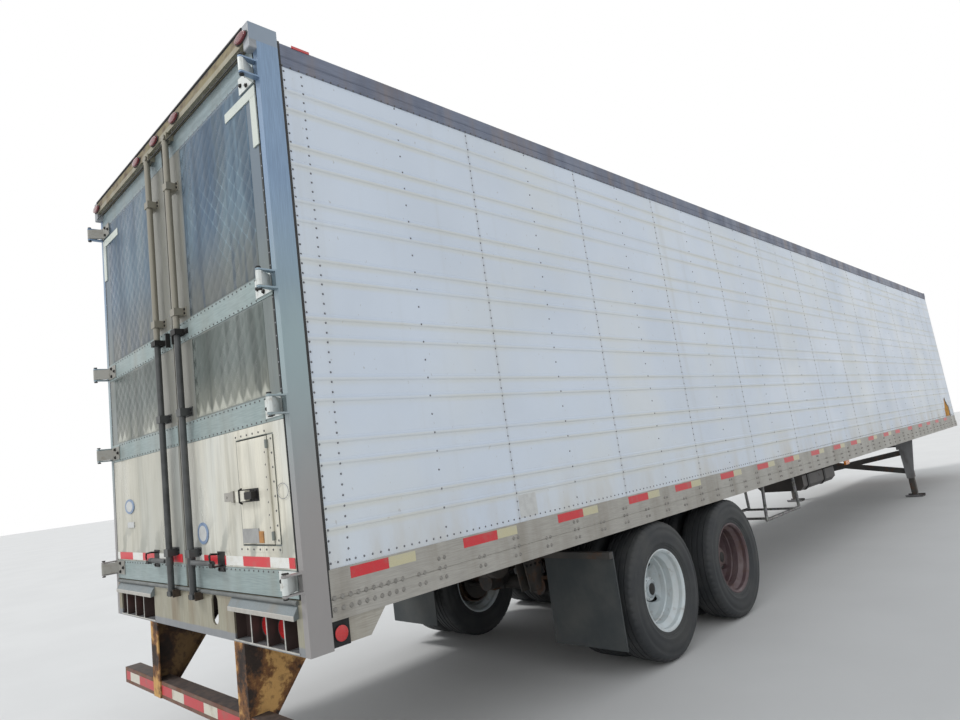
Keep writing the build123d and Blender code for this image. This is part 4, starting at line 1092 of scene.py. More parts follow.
def side_rivets(sizes):
    """Rivets of the side panels: dense at the laps and edges, sparse between them."""
    for side, sign in SIDES:
        face = (0, sign, 0)
        z0, z1 = FLOOR_TOP + EDGE_IN, SKIRT - EDGE_IN
        x0, x1 = WALL_START + 0.02, WALL_END - 0.02
        look, head = ("white_panel", "rivet_side"), (sizes.rivet_radius, WALL_RIVET_HEIGHT)

        laps = [at(x) for x in [POST_COLUMN, STUD_COLUMN] + SEAMS] + [x1]
        rows = [row for x in laps for row in wall_column(x, sign, z0, z1)]
        head_rows(f"lap_rivets_{side}", "trailer", rows, *look, sizes.seam_pitch, *head)

        middles = [at(SEAM_FIRST + SEAM_PITCH * (k + 0.5)) for k in range(-1, 11)]
        rows = [row for x in middles for row in wall_column(x, sign, FLOOR_TOP + STUD_START, z1 + 0.012)]
        head_rows(f"stud_rivets_{side}", "trailer", rows, *look, sizes.seam_pitch * 2, *head)

        rows = [level(x0, x1, sign * WALL_SKIN, z0, face)]
        head_rows(f"edge_rivets_{side}", "trailer", rows, *look, sizes.edge_pitch, *head)

        rows = [level(x0, x1, sign * (HALF - 0.002), SKIRT + 0.004, face)]
        head_rows(f"top_rail_rivets_{side}", "trailer", rows, "top_rail_aluminium", "rivet_dark",
                  sizes.edge_pitch, RAIL_RIVET_RADIUS, RAIL_RIVET_HEIGHT)


BOLT_FIRST = 0.8392
BOLT_PITCH = 0.3067
BOLT_LEVELS = (1.072, 1.122)
THIRD_BOLT = 1.172
PAIR_HALF = 0.02
REAR_BOLTS = (0.15, 0.56)
SHORT_GROUP = (0.67, 0.71)


def rail_bolts():
    """Bolt heads in the bottom rails: a long double row at the rear, then a group at each crossmember."""
    for side, sign in SIDES:
        face = (0, sign, 0)
        y = sign * HALF
        rear = [level(at(REAR_BOLTS[0]), at(REAR_BOLTS[1]), y, z, face) for z in BOLT_LEVELS]
        head_rows(f"rail_bolts_rear_{side}", "trailer", rear, "rail_aluminium", "bolt_rail",
                  0.0445, 0.0125, 0.0058, 0.7, 12)
        groups = [level(at(SHORT_GROUP[0]), at(SHORT_GROUP[1]), y, z, face) for z in BOLT_LEVELS]
        count = int((WALL_END - 0.1 - at(BOLT_FIRST)) / BOLT_PITCH) + 1
        for k in range(count):
            x = at(BOLT_FIRST + BOLT_PITCH * k)
            levels = BOLT_LEVELS + (THIRD_BOLT,) if k % 2 == 0 else BOLT_LEVELS
            groups += [level(x - PAIR_HALF, x + PAIR_HALF, y, z, face) for z in levels]
        head_rows(f"rail_bolts_{side}", "trailer", groups, "rail_aluminium", "bolt_rail",
                  0.04, 0.0115, 0.0056, 0.7, 10)


TAPE_STARTS = (0.204, 1.014, 1.883, 2.75, 3.47, 4.33, 5.18, 5.92, 6.79, 7.634, 8.374, 9.229, 10.08, 10.811,
               11.677, 12.472, 13.176, 13.961, 14.8)
TAPE_LOW, TAPE_HIGH = 1.19, 1.243
TAPE_THICK = 0.0006
TAPE_SUNK = 0.0004
RED_START = 0.253
PALE_LENGTH = 0.178
PALE_END = 10.5


def rail_tape(sizes):
    """Red strips along both bottom rails, the rear ones each followed by a pale one that has yellowed."""
    shapes = {"red": Shape(), "yellowed": Shape()}
    y0, y1 = -HALF - TAPE_THICK, -HALF + TAPE_SUNK
    for start in TAPE_STARTS:
        end = start + sizes.tape_length
        shapes["red"].box(at(max(start, RED_START)), at(end), y0, y1, TAPE_LOW, TAPE_HIGH)
        if start < PALE_END:
            x0, x1 = at(end + 0.002), at(end + PALE_LENGTH)
            shapes["yellowed"].box(x0, x1, y0, y1, TAPE_LOW + 0.002, TAPE_HIGH)
    for name, shape in shapes.items():
        shape.mirrored().piece(f"rail_tape_{name}", "trailer", f"tape_{name}", "rail_aluminium")
    reflector = Shape()
    reflector.box(at(0.21), at(0.32), -HALF - 0.003, -HALF + TAPE_SUNK, 3.942, 3.957)
    reflector.mirrored().piece("top_reflectors", "trailer", "lamp_red", "lamp_red", bevel=0.0008)


# Doors: embossed sheets, rivets, straps and lock gear
FACE = REAR
SUNK = 0.0003
BANDS = (1.211, 2.032, 2.635)
BAND_HALF = 0.061
BAND_FACE = at(-0.003)
STRAP_PLANE = at(-0.009)
TOP_PLATE_FACE = at(-0.0012)
HINGES = (1.225, 2.032, 2.635, 3.745)
VENT_OUT = low("vent_hatch").y
VENT_IN = high("vent_hatch").y
SHEET_THICK = 0.0008
SHEET_SUNK = 0.0004
QUILT_Y = (0.275, 1.135)
QUILTS = (("upper", 2.705, 3.762, "skin_upper"), ("middle", 2.102, 2.565, "skin_middle"))
QUILT_RISE = 0.6
QUILT_STEP = 0.0075
LOWER_SHEET = (1.275, 1.968)
LOWER_STEP = 0.012


def quilt(y, z, sizes):
    """Pillow height inside an embossed diamond."""
    u = math.pi * (y / sizes.quilt_width + z / sizes.quilt_height)
    v = math.pi * (y / sizes.quilt_width - z / sizes.quilt_height)
    return sizes.quilt_depth * math.sqrt(abs(math.sin(u) * math.sin(v)))


def crease(y, z, sizes):
    """Shallow dents and slanting creases of a knocked sheet."""
    broad = noise.noise(Vector((y * 3.1, z * 2.3, 4.0)))
    spot = Vector((y * 5.0 + z * 4.2, z * 1.6 - y * 1.1, 9.0))
    slant = noise.ridged_multi_fractal(spot, 0.9, 2.1, 3.0, 1.0, 2.0)
    return sizes.crease_depth * min(max(0.35 + broad * 0.5 - slant * 0.16, 0.0), 1.0)


def relief_sheet(shape, y0, y1, z0, z1, face, step, relief):
    """A thin closed sheet on the plane x = face, raised towards the rear by relief(y, z)."""
    columns = max(2, round(abs(y1 - y0) / step))
    rows = max(2, round((z1 - z0) / step))
    points = []
    for i in range(columns + 1):
        for j in range(rows + 1):
            y = y0 + (y1 - y0) * i / columns
            z = z0 + (z1 - z0) * j / rows
            edge = i in (0, columns) or j in (0, rows)
            points.append((face - SHEET_THICK - (0.0 if edge else relief(y, z)), y, z))
    faces = grid_faces(columns + 1, rows + 1, False, False)
    rim = [i * (rows + 1) for i in range(columns + 1)]
    rim += [columns * (rows + 1) + j for j in range(1, rows + 1)]
    rim += [i * (rows + 1) + rows for i in range(columns - 1, -1, -1)]
    rim += [j for j in range(rows - 1, 0, -1)]
    start = len(points)
    points += [(face + SHEET_SUNK, points[k][1], points[k][2]) for k in rim]
    n = len(rim)
    faces += [[rim[k], rim[(k + 1) % n], start + (k + 1) % n, start + k] for k in range(n)]
    faces.append([start + k for k in range(n)])
    return shape.add(points, faces)


def quilted_sheets(sizes):
    """The embossed upper and middle sheets of both doors."""
    for body, sign in DOORS:
        for part, z0, z1, coat in QUILTS:
            sheet = Shape()
            relief_sheet(sheet, sign * QUILT_Y[0], sign * QUILT_Y[1], z0, z1, FACE, QUILT_STEP,
                         lambda y, z: QUILT_RISE * quilt(y, z, sizes))
            sheet.piece(f"{part}_sheet_{body}", body, coat, "stainless", smooth=45)


def lower_sheets(sizes):
    """The creased lower sheets, cut round the vent hatch, and the hatch's own sheet."""
    bottom, top = LOWER_SHEET
    patches = {"left_door": [(0.03, 1.238, bottom, top)],
               "right_door": [(-0.03, -0.735, bottom, top), (-1.128, -1.238, bottom, top),
                              (-0.735, -1.128, 1.918, top), (-0.735, -1.128, bottom, 1.382)]}
    for body, rectangles in patches.items():
        sheet = Shape()
        for y0, y1, z0, z1 in rectangles:
            relief_sheet(sheet, y0, y1, z0, z1, FACE, LOWER_STEP, lambda y, z: crease(y, z, sizes))
        sheet.piece(f"lower_sheet_{body}", body, "skin_lower", "stainless", smooth=45)
    plate = Shape()
    relief_sheet(plate, VENT_IN - 0.003, VENT_OUT + 0.029, 1.395, 1.905, at(-0.004), LOWER_STEP,
                 lambda y, z: crease(y, z, sizes) * 1.2)
    plate.piece("vent_sheet", "vent", "skin_lower", "stainless", smooth=45)


def door_bands():
    """Plain plate along the tops of the doors, with the rivets of all bands."""
    for body, sign in DOORS:
        plate = Shape()
        plate.box(TOP_PLATE_FACE, FACE + SHEET_SUNK, sign * 0.012, sign * 1.2445, 3.778, 3.892)
        plate.piece(f"top_plate_{body}", body, "band_paint", "band_metal")

        levels = [z + edge for z in BANDS for edge in (-BAND_HALF + 0.009, BAND_HALF - 0.009)]
        rows = [across(BAND_FACE, sign * 0.03, sign * 1.08, z, BACK) for z in levels if z > DOOR_LOW + 0.02]
        head_rows(f"band_rivets_{body}", body, rows, "band_metal", "rivet_dark", 0.049, 0.0055, 0.003)

        rows = [across(TOP_PLATE_FACE, sign * 0.03, sign * 1.08, z, BACK) for z in (3.786, 3.884)]
        rows += [across(FACE, sign * 0.29, sign * 1.12, z, BACK) for z in (2.578, 3.772)]
        rows += [column(FACE, sign * y, z0, z1, BACK)
                 for y in (0.035, 1.241) for z0, z1 in ((2.11, 2.56), (2.72, 3.76))]
        head_rows(f"sheet_rivets_{body}", body, rows, "stainless", "rivet_grey", 0.062, 0.0045, 0.0025)


def middle_trim():
    """Narrow trim on the right door that covers the gap in the middle."""
    out, back, y0, y1, foot = at(-0.0015), FACE + SHEET_SUNK, -0.05, -0.0078, 1.285
    strip = Shape()
    strip.prism([(out, y0, foot), (out, y1, foot), (back, y1, foot), (back, y0, foot)], (0, 0, 2.49))
    strip.piece("middle_trim", "right_door", "rail_mill", "stainless", bevel=0.0005)


def hexagon(shape, x, y, z, radius, depth, turn=0.0):
    """A bolt head that faces the rear."""
    corners = [turn + math.tau * k / 6 for k in range(6)]
    outline = [(x, y + radius * math.cos(a), z + radius * math.sin(a)) for a in corners]
    return shape.prism(outline, (-depth, 0, 0))


def strap_bolts():
    """Three black bolts in a triangle on each hinge strap, with washers."""
    for body, sign in DOORS:
        bolts = Shape()
        for z in HINGES:
            for y, rise in ((1.112, 0.0), (1.172, 0.029), (1.172, -0.029)):
                bolts.disc((STRAP_PLANE + 0.0002, sign * y, z + rise), 0.0125, 0.002, "X", -1, 16)
                hexagon(bolts, STRAP_PLANE - 0.0018, sign * y, z + rise, 0.0092, 0.0075, y * 7)
        bolts.piece(f"strap_bolts_{body}", body, "bolt_black", "galvanised", bevel=0.0006)


def hinge_pins():
    """Domed heads on the hinge pins of the rear posts."""
    pins = Shape()
    x, y = at(-0.088), POST_HALF - 0.0155
    for z in HINGES:
        for end, way in ((z + 0.0515, 1), (z - 0.0515, -1)):
            pins.disc((x, y, end), 0.0125, 0.006, "Z", way, 16)
    pins.mirrored().piece("hinge_pin_heads", "trailer", "bolt_black", "galvanised", smooth=40)


ROD_Y = 0.16
GUIDES = (1.345, 2.15, 2.755, 3.56)
CLAMP_Z = 2.635
HANDLE_Z = 1.296
KEEPER_Y = 0.47
GRIP_X = at(-0.05)
CAM_LEVELS = ((1.094, 1.122), (3.869, 3.897))


def rod_guides(body, sign):
    """Plates behind the lock rods' guides, with four bolts in each."""
    plates, bolts = Shape(), Shape()
    for z in GUIDES:
        plates.box(at(-0.0035), FACE + SUNK, sign * (ROD_Y - 0.062), sign * (ROD_Y + 0.062),
                   z - 0.027, z + 0.027)
        for away in (-0.047, 0.047):
            for rise in (-0.012, 0.012):
                hexagon(bolts, at(-0.0034), sign * (ROD_Y + away), z + rise, 0.0075, 0.006, z)
    plates.piece(f"guide_plates_{body}", body, "rod_zinc", "galvanised", bevel=0.0008)
    bolts.piece(f"guide_bolts_{body}", body, "bolt_black", "galvanised")


def rod_clamp(body, sign):
    """The black clamp round each lock rod on the upper band, with its bolts and stop."""
    clamp = Shape()
    z0, z1 = CLAMP_Z - 0.02, CLAMP_Z + 0.014
    clamp.box(BAND_FACE - 0.004, BAND_FACE + SUNK, sign * (ROD_Y - 0.1), sign * (ROD_Y + 0.075), z0, z1)
    for inner, outer in ((-0.034, -0.025), (0.025, 0.034)):
        clamp.box(at(-0.066), BAND_FACE, sign * (ROD_Y + inner), sign * (ROD_Y + outer), z0, z1)
    clamp.box(at(-0.067), at(-0.0625), sign * (ROD_Y - 0.034), sign * (ROD_Y + 0.034), z0, z1)
    for away in (-0.085, 0.06):
        hexagon(clamp, BAND_FACE - 0.0038, sign * (ROD_Y + away), CLAMP_Z - 0.003, 0.011, 0.01, 0.3)
    clamp.box(at(-0.03), BAND_FACE, sign * (ROD_Y - 0.118), sign * (ROD_Y - 0.108),
              CLAMP_Z - 0.05, CLAMP_Z + 0.04)
    clamp.piece(f"rod_clamp_{body}", body, "bolt_black", "chassis_black", bevel=0.0008)


def handle_keeper(body, sign):
    """The plate, rest and hook that hold a lock rod's handle."""
    keeper = Shape()
    y0, y1 = sign * (KEEPER_Y - 0.022), sign * (KEEPER_Y + 0.022)
    keeper.box(at(-0.004), FACE + SUNK, sign * (KEEPER_Y - 0.045), sign * (KEEPER_Y + 0.045), 1.246, 1.352)
    keeper.box(at(-0.06), at(-0.0035), y0, y1, 1.276, 1.2815)
    keeper.box(at(-0.066), at(-0.0605), y0, y1, 1.276, 1.298)
    hook = ((-0.006, -0.03, 1.338), (-0.05, -0.028, 1.345), (-0.068, 0.0, 1.34), (-0.069, 0.004, 1.318),
            (-0.066, 0.005, 1.302))
    keeper.tube([(at(x), sign * (KEEPER_Y + away), z) for x, away, z in hook], 0.005)
    for away in (-0.033, 0.033):
        hexagon(keeper, at(-0.0038), sign * (KEEPER_Y + away), 1.258, 0.0075, 0.006)
    keeper.piece(f"handle_keeper_{body}", body, "bolt_black", "galvanised", bevel=0.0006)


def lock_gear():
    """Guides and clamps of the lock rods, and the handles' keepers on the doors."""
    for body, sign in DOORS:
        rod_guides(body, sign)
        rod_clamp(body, sign)
        handle_keeper(body, sign)


def cam_ends():
    """Rounded lips on the lock rods' cams, and the handles' grips."""
    for body, sign in DOORS:
        lips = Shape()
        for z0, z1 in CAM_LEVELS:
            for away in (-0.0235, 0.0235):
                y = sign * ROD_Y + away
                lips.tube([(at(-0.0555), y, z0 + 0.003), (at(-0.0555), y, z1 - 0.003)], 0.0045, 8)
        lips.piece(f"cam_lips_{body}", body, "rod_zinc", "galvanised", smooth=40)
        grip = Shape()
        for y0, y1, radius in ((0.2, 0.452, 0.0135), (0.425, 0.4605, 0.0155)):
            grip.tube([(GRIP_X, sign * y0, HANDLE_Z), (GRIP_X, sign * y1, HANDLE_Z)], radius, 12)
        grip.piece(f"handle_grip_{body}", body, "rod_zinc", "galvanised", smooth=40)


# Tape along the doors' bottom: each strip's two ends, from the middle or the edge, and its colour
DOOR_TAPE = {
    "right_door": ((-0.0085, -0.128, "red"), (-0.192, -0.252, "white"), (-0.252, -0.53, "red"),
                   (-0.53, -0.725, "white"), (-0.725, -1.005, "red"), (-1.005, -1.183, "white"),
                   (-1.183, -1.236, "red")),
    "left_door": ((1.232, 1.18, "white"), (1.178, 0.918, "red"), (0.918, 0.726, "white"),
                  (0.726, 0.514, "red"), (0.514, 0.298, "white"), (0.298, 0.056, "red")),
}
DOOR_TAPE_LEVELS = (1.283, 1.331)
DOOR_TAPE_FACE = FACE - 0.0031
CORNER_TAPE_FACE = at(-0.0062)


def door_tape():
    """Red and white strips along the doors' bottom, and faded corner strips at the top."""
    for body, strips in DOOR_TAPE.items():
        sign = dict(DOORS)[body]
        for tint in ("red", "white"):
            shape = Shape()
            for y0, y1, colour in strips:
                if colour == tint:
                    relief_sheet(shape, y0, y1, *DOOR_TAPE_LEVELS, DOOR_TAPE_FACE, 0.02, lambda y, z: 0.0)
            shape.piece(f"door_tape_{tint}_{body}", body, f"tape_{tint}", "door_skin")
        corner = Shape()
        corner.box(CORNER_TAPE_FACE, FACE + SUNK, sign * 0.905, sign * 1.243, 3.63, 3.683)
        corner.box(CORNER_TAPE_FACE, FACE + SUNK, sign * 1.187, sign * 1.243, 3.36, 3.631)
        corner.piece(f"corner_tape_{body}", body, "tape_faded", "door_skin")


STRIP_FACE = at(-0.0028)
LEAF_FACE = at(-0.0066)
HATCH_FACE = at(-0.0048)
LATCH_Z = 1.632
RING_MIDDLE = (-1.184, 1.636)
RING_WIDE, RING_TALL = 0.051, 0.036


def vent_frame():
    """Riveted strips round the hatch and the rivets of its hinge's leaf."""
    strips = Shape()
    strips.box(STRIP_FACE, FACE + SUNK, -0.72, -1.062, 1.919, 1.948)
    strips.box(STRIP_FACE, FACE + SUNK, -0.7, -1.125, 1.352, 1.381)
    strips.box(LEAF_FACE, at(-0.0038), -1.078, -1.126, 1.391, 1.909)
    strips.piece("vent_frame", "right_door", "skin_lower", "stainless", bevel=0.0006)
    rows = [across(STRIP_FACE, -0.74, -1.05, 1.9335, BACK), across(STRIP_FACE, -0.72, -1.11, 1.3665, BACK)]
    head_rows("vent_frame_rivets", "right_door", rows, "stainless", "rivet_dark", 0.058, 0.006, 0.003)
    rows = [column(LEAF_FACE, -1.112, 1.41, 1.89, BACK)]
    head_rows("vent_leaf_rivets", "right_door", rows, "stainless", "rivet_dark", 0.066, 0.006, 0.003)
    rows = [column(at(-0.009), -1.049, 1.47, 1.83, BACK)]
    head_rows("vent_hinge_rivets", "vent", rows, "stainless", "rivet_dark", 0.06, 0.0055, 0.003)


def vent_marks():
    """A ring scratched beside the hatch, and the hatch's sealant and bare label."""
    ring = Shape()
    y, z = RING_MIDDLE
    turns = [math.tau * k / 32 for k in range(33)]
    path = [(at(-0.0062), y + RING_WIDE * math.cos(a), z + RING_TALL * math.sin(a)) for a in turns]
    ring.tube(path, 0.0014, 6)
    ring.piece("ring_mark", "right_door", "rivet_grey", "door_skin")
    seal = Shape()
    seal.box(at(-0.0098), HATCH_FACE, -0.969, -0.926, 1.398, 1.454)
    seal.piece("vent_sealant", "vent", "sealant", "door_skin", bevel=0.0006)
    label = Shape()
    label.box(at(-0.0096), HATCH_FACE, -0.924, -0.753, 1.398, 1.468)
    label.piece("vent_label", "vent", "bare_label", "door_skin", bevel=0.0006)


def vent_latch():
    """The hatch's black latch with its bolts and bail, and the catch plate on the door."""
    z = LATCH_Z
    latch = Shape()
    latch.box(at(-0.0085), at(-0.004), -0.7455, -0.95, z - 0.032, z + 0.032)
    for y in (-0.9, -0.93):
        for rise in (-0.02, 0.02):
            hexagon(latch, at(-0.0084), y, z + rise, 0.006, 0.004)
    bail = ((-0.02, 0.037), (-0.036, 0.03), (-0.036, -0.03), (-0.02, -0.04))
    latch.tube([(at(x), -0.8, z + rise) for x, rise in bail], 0.0045)
    latch.box(at(-0.04), at(-0.008), -0.86, -0.935, z - 0.018, z + 0.018)
    latch.piece("vent_latch", "vent", "bolt_black", "galvanised", bevel=0.001)
    plate = Shape()
    plate.box(at(-0.0045), FACE + SUNK, -0.56, -0.728, z - 0.02, z + 0.024)
    plate.box(at(-0.012), at(-0.004), -0.655, -0.68, z - 0.03, z + 0.03)
    hexagon(plate, at(-0.0044), -0.59, z, 0.007, 0.004)
    plate.piece("vent_catch_plate", "right_door", "rail_mill", "galvanised", bevel=0.0008)


STICKERS = (("left_door", 0.934, 1.641, 0.088, 0.05), ("right_door", -0.262, 1.449, 0.07, 0.06))
STICKER_LAYERS = (("rim", 1.0, -0.0068, "sticker_rim"), ("sticker", 0.72, -0.0074, "blank_plate"))


def bare_stickers():
    """Blank oval stickers with a coloured rim, and blank labels on the left door and the right wall."""
    turns = [math.tau * k / 40 for k in range(40)]
    for body, y, z, wide, tall in STICKERS:
        for name, scale, depth, coat in STICKER_LAYERS:
            outline = [(FACE, y + wide * scale * math.cos(a), z + tall * scale * math.sin(a)) for a in turns]
            oval = Shape()
            oval.prism(outline, (depth, 0, 0))
            oval.piece(f"bare_{name}_{body}", body, coat, "door_skin")
    label = Shape()
    label.box(at(-0.0066), FACE, 0.86, 0.985, 1.497, 1.535)
    label.piece("bare_label_left_door", "left_door", "blank_plate", "door_skin")
    label = Shape()
    label.box(at(1.53), at(1.7), -WALL_SKIN - 0.0006, -WALL_SKIN + 0.001, 1.275, 1.412)
    label.piece("bare_label_wall", "trailer", "blank_plate", "white_panel")


SEAL_LIPS = ((0.008, 0.014), (0.026, 0.032), (0.05, 0.056))
SEAL_RISE = 0.0045


def door_seals():
    """Black rubber lips round both doors' edges."""
    for body, sign in DOORS:
        seal = Shape()
        near, far = sign * 0.02, sign * (DOOR_EDGE - 0.002)
        for x0, x1 in SEAL_LIPS:
            seal.box(at(x0), at(x1), sign * (DOOR_EDGE - SUNK), sign * (DOOR_EDGE + SEAL_RISE),
                     DOOR_LOW + 0.002, DOOR_HIGH - 0.002)
            seal.box(at(x0), at(x1), near, far, DOOR_HIGH - SUNK, DOOR_HIGH + SEAL_RISE)
            seal.box(at(x0), at(x1), near, far, DOOR_LOW - SEAL_RISE, DOOR_LOW + SUNK)
        seal.piece(f"door_seal_{body}", body, "seal", "door_skin")


LINER_RIBS = 9
LINER_START = 0.05
LINER_BACK, LINER_FACE = at(0.0748), at(0.0755) + 0.001
LINER_LEVELS = (1.36, 3.86)
VENT_HOLE_LEVELS = (1.378, 1.922)
VENT_HOLE_Y = (0.68, 1.1)


def door_liners():
    """White moulded liners on the doors' inner faces, with ribs, a hole at the vent and kick plates."""
    foot, top = LINER_LEVELS
    hole_foot, hole_top = VENT_HOLE_LEVELS
    pitch = (DOOR_EDGE - 0.09) / LINER_RIBS
    for body, sign in DOORS:
        liner = Shape()
        for k in range(LINER_RIBS):
            y0 = LINER_START + pitch * k
            vented = body == "right_door" and VENT_HOLE_Y[0] < y0 + pitch and y0 < VENT_HOLE_Y[1]
            outline = [(LINER_BACK, y0), (LINER_FACE, y0 + 0.012), (LINER_FACE, y0 + pitch - 0.022),
                       (LINER_BACK, y0 + pitch - 0.01)]
            for z0, z1 in ((foot, hole_foot), (hole_top, top)) if vented else ((foot, top),):
                liner.prism([(x, sign * y, z0) for x, y in outline], (0, 0, z1 - z0))
        liner.piece(f"door_liner_{body}", body, "liner_white", "door_skin")
        plate = Shape()
        plate.box(at(0.0747), at(0.0772), sign * 0.025, sign * (DOOR_EDGE - 0.012), 1.165, 1.35)
        plate.piece(f"door_kick_{body}", body, "rail_mill", "rail_aluminium")


# Rear frame and lamps
HEADER_FACE = at(-0.04)
DOOR_SPAN = 1.23


def frame_trim():
    """Caps, lips and rivets of the header, the gutter along the sill and the sealant beside the posts."""
    caps = Shape()
    caps.box(at(-0.0418), at(0.06), 1.232, POST_HALF - 0.0002, HEADER_LOW + 0.0015, HEADER_HIGH - 0.0015)
    caps.mirrored().piece("header_caps", "trailer", "cap_grey", "rail_aluminium", bevel=0.006)

    lip = Shape()
    lip.box(at(-0.046), at(-0.039), -DOOR_SPAN, DOOR_SPAN, HEADER_HIGH - 0.011, HEADER_HIGH - 0.0005)
    lip.box(at(-0.045), at(-0.039), -DOOR_SPAN, DOOR_SPAN, HEADER_LOW + 0.0005, HEADER_LOW + 0.007)
    lip.piece("header_lips", "trailer", "seal", "rail_aluminium", bevel=0.002)
    rows = [across(HEADER_FACE, -1.2, 1.2, HEADER_LOW + 0.02, BACK)]
    head_rows("header_rivets", "trailer", rows, "rail_aluminium", "rivet_dark", 0.09, 0.005, 0.003)

    gutter = Shape()
    x, z = at(-0.005), DOOR_LOW - 0.017
    gutter.tube([(x, -DOOR_SPAN, z), (x, DOOR_SPAN, z)], 0.011, 16)
    gutter.piece("sill_gutter", "trailer", "gutter_grey", "rail_aluminium", smooth=40)

    joint = Shape()
    x = high("rear_post_left").x - 0.001
    joint.box(x, WALL_START + 0.018, WALL_SKIN - 0.001, WALL_SKIN + 0.0075, FLOOR_TOP, SKIRT + 0.002)
    joint.box(x, WALL_START + 0.014, HALF - 0.001, HALF + 0.004, SKIRT, RAIL_HIGH - 0.004)
    joint.box(x, WALL_START + 0.01, HALF - 0.001, HALF + 0.003, RAIL_LOW + 0.02, FLOOR_TOP)
    joint.mirrored().piece("post_sealant", "trailer", "seal", "white_panel")


TAIL_PLACES = (0.82, 0.985)
# Profiles turned about an axis: radius, then place along the axis
TAIL_RIM = ((0.046, 0.0), (0.054, 0.0), (0.0555, 0.004), (0.053, 0.0075), (0.0465, 0.0055))
TAIL_LENS = ((0.0, 0.0), (0.046, 0.0), (0.045, 0.004), (0.03, 0.0062), (0.0, 0.0072))
SIDE_LAMP_PLACE = (0.172, 0.964)
SIDE_LENS = ((0.0, 0.0), (0.0355, 0.0), (0.0355, 0.0025), (0.032, 0.0045), (0.0, 0.0056))
MARKER_PLACES = (-1.225, -0.33, 0.0, 0.33, 1.225)
MARKER_WIDE, MARKER_TALL = 0.06, 0.026


def tail_lamps():
    """Moulded rims and domed faces of the round tail lamps."""
    x = low("tail_lamps").x
    z = 0.5 * (low("tail_lamps").z + high("tail_lamps").z)
    rims, lenses = Shape(), Shape()
    for y in TAIL_PLACES:
        rims.lathe(TAIL_RIM, (x + 0.004, y, z), 32, "X", -1)
        lenses.lathe(TAIL_LENS, (x + 0.0005, y, z), 32, "X", -1, False)
    rims.mirrored().piece("tail_lamp_rims", "trailer", "seal", "lamp_red", smooth=40)
    lenses.mirrored().piece("tail_lamp_lenses", "trailer", "lamp_red", "lamp_red", smooth=40)


def side_lamps():
    """Faces of the round lamps on the side lamp boxes."""
    lenses = Shape()
    x, z = SIDE_LAMP_PLACE
    lenses.lathe(SIDE_LENS, (at(x), high("side_lamp_left").y - 0.0002, z), 28, "Y", 1, False)
    lenses.mirrored().piece("side_lamp_lenses", "trailer", "lamp_red", "lamp_red", smooth=40)


def marker_lamps():
    """Oval lamps along the header on dark feet."""
    lowest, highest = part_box("marker_lamps")
    z = (lowest.z + highest.z) / 2 - 0.012
    turns = [math.tau * k / 28 for k in range(28)]
    outline = [(math.cos(a) * MARKER_WIDE, math.sin(a) * MARKER_TALL) for a in turns]
    covers, feet = Shape(), Shape()
    for y in MARKER_PLACES:
        for scale, depth, shape in ((1.08, 0.006, feet), (0.95, 0.019, covers)):
            shape.prism([(at(-0.0396), y + dy * scale, z + dz * scale) for dy, dz in outline], (-depth, 0, 0))
    feet.piece("marker_feet", "trailer", "seal", "lamp_red", bevel=0.0015)
    covered = covers.piece("marker_covers", "trailer", "lamp_dull", "lamp_red", bevel=0.005, smooth=40)
    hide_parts("marker_lamps")


BOX_IN, BOX_OUT = 0.56, 1.206
BOX_DIVIDERS = (0.757, 0.915, 1.085)
BOX_HOOD = 0.065
DIVIDER_HALF = 0.0045


def light_box_lips():
    """Thin folded lips on the dividers and the lower edge of the light boxes."""
    lips = Shape()
    foot, head = low("light_boxes").z, high("light_boxes").z - BOX_HOOD
    for y in BOX_DIVIDERS:
        lips.box(at(-0.0034), at(-0.0015), y - DIVIDER_HALF, y + DIVIDER_HALF, foot, head)
    lips.box(at(-0.0032), at(-0.0002), BOX_IN, BOX_OUT, foot - 0.004, foot + 0.003)
    lips.mirrored().piece("light_box_lips", "trailer", "lip_pale", "stainless")


GUARD_POST = (0.546, 0.66)
GUARD_RED, GUARD_WHITE = 0.28, 0.18
GUARD_TAPE_IN = 0.022


def guard_trim():
    """Tape along the impact bar between and beside its posts, its anti-slip top and its end plates."""
    (x0, _, z0), (x1, half, z1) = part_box("guard_bar")
    reds, whites = Shape(), Shape()
    inner, outer = GUARD_POST
    for start, end in ((-half + 0.02, -outer), (-inner, inner), (outer, half - 0.02)):
        y, red = start, True
        while y < end - 0.02:
            reach = min(y + (GUARD_RED if red else GUARD_WHITE), end - 0.004)
            strip = reds if red else whites
            strip.box(x0 - 0.0007, x0 + 0.0004, y + 0.002, reach, z0 + GUARD_TAPE_IN, z1 - GUARD_TAPE_IN)
            y, red = reach, not red
    reds.piece("guard_tape_red", "trailer", "guard_red", "rusty_steel")
    whites.piece("guard_tape_white", "trailer", "guard_white", "rusty_steel")
    grip = Shape()
    grip.box(x0 + 0.004, x1 - 0.004, -half + 0.01, half - 0.01, z1 - 0.0004, z1 + 0.0012)
    grip.piece("guard_grip", "trailer", "grip_black", "rusty_steel")
    ends = Shape()
    ends.box(x0 + 0.002, x1 - 0.002, half - 0.001, half + 0.0015, z0 + 0.002, z1 - 0.002)
    ends.mirrored().piece("guard_end_plates", "trailer", "bar_paint", "rusty_steel", bevel=0.001)


# Wheels
TYRE_HALF = 0.142
TYRE_RADIUS = 0.507
DUAL = 0.168
BEAD_RADIUS = 0.2868
GROOVES = (-0.072, -0.025, 0.025, 0.072)
GROOVE_HALF = 0.0065
GROOVE_FLOOR = GROOVE_HALF * 0.45
EDGE_WAVE = 0.0018
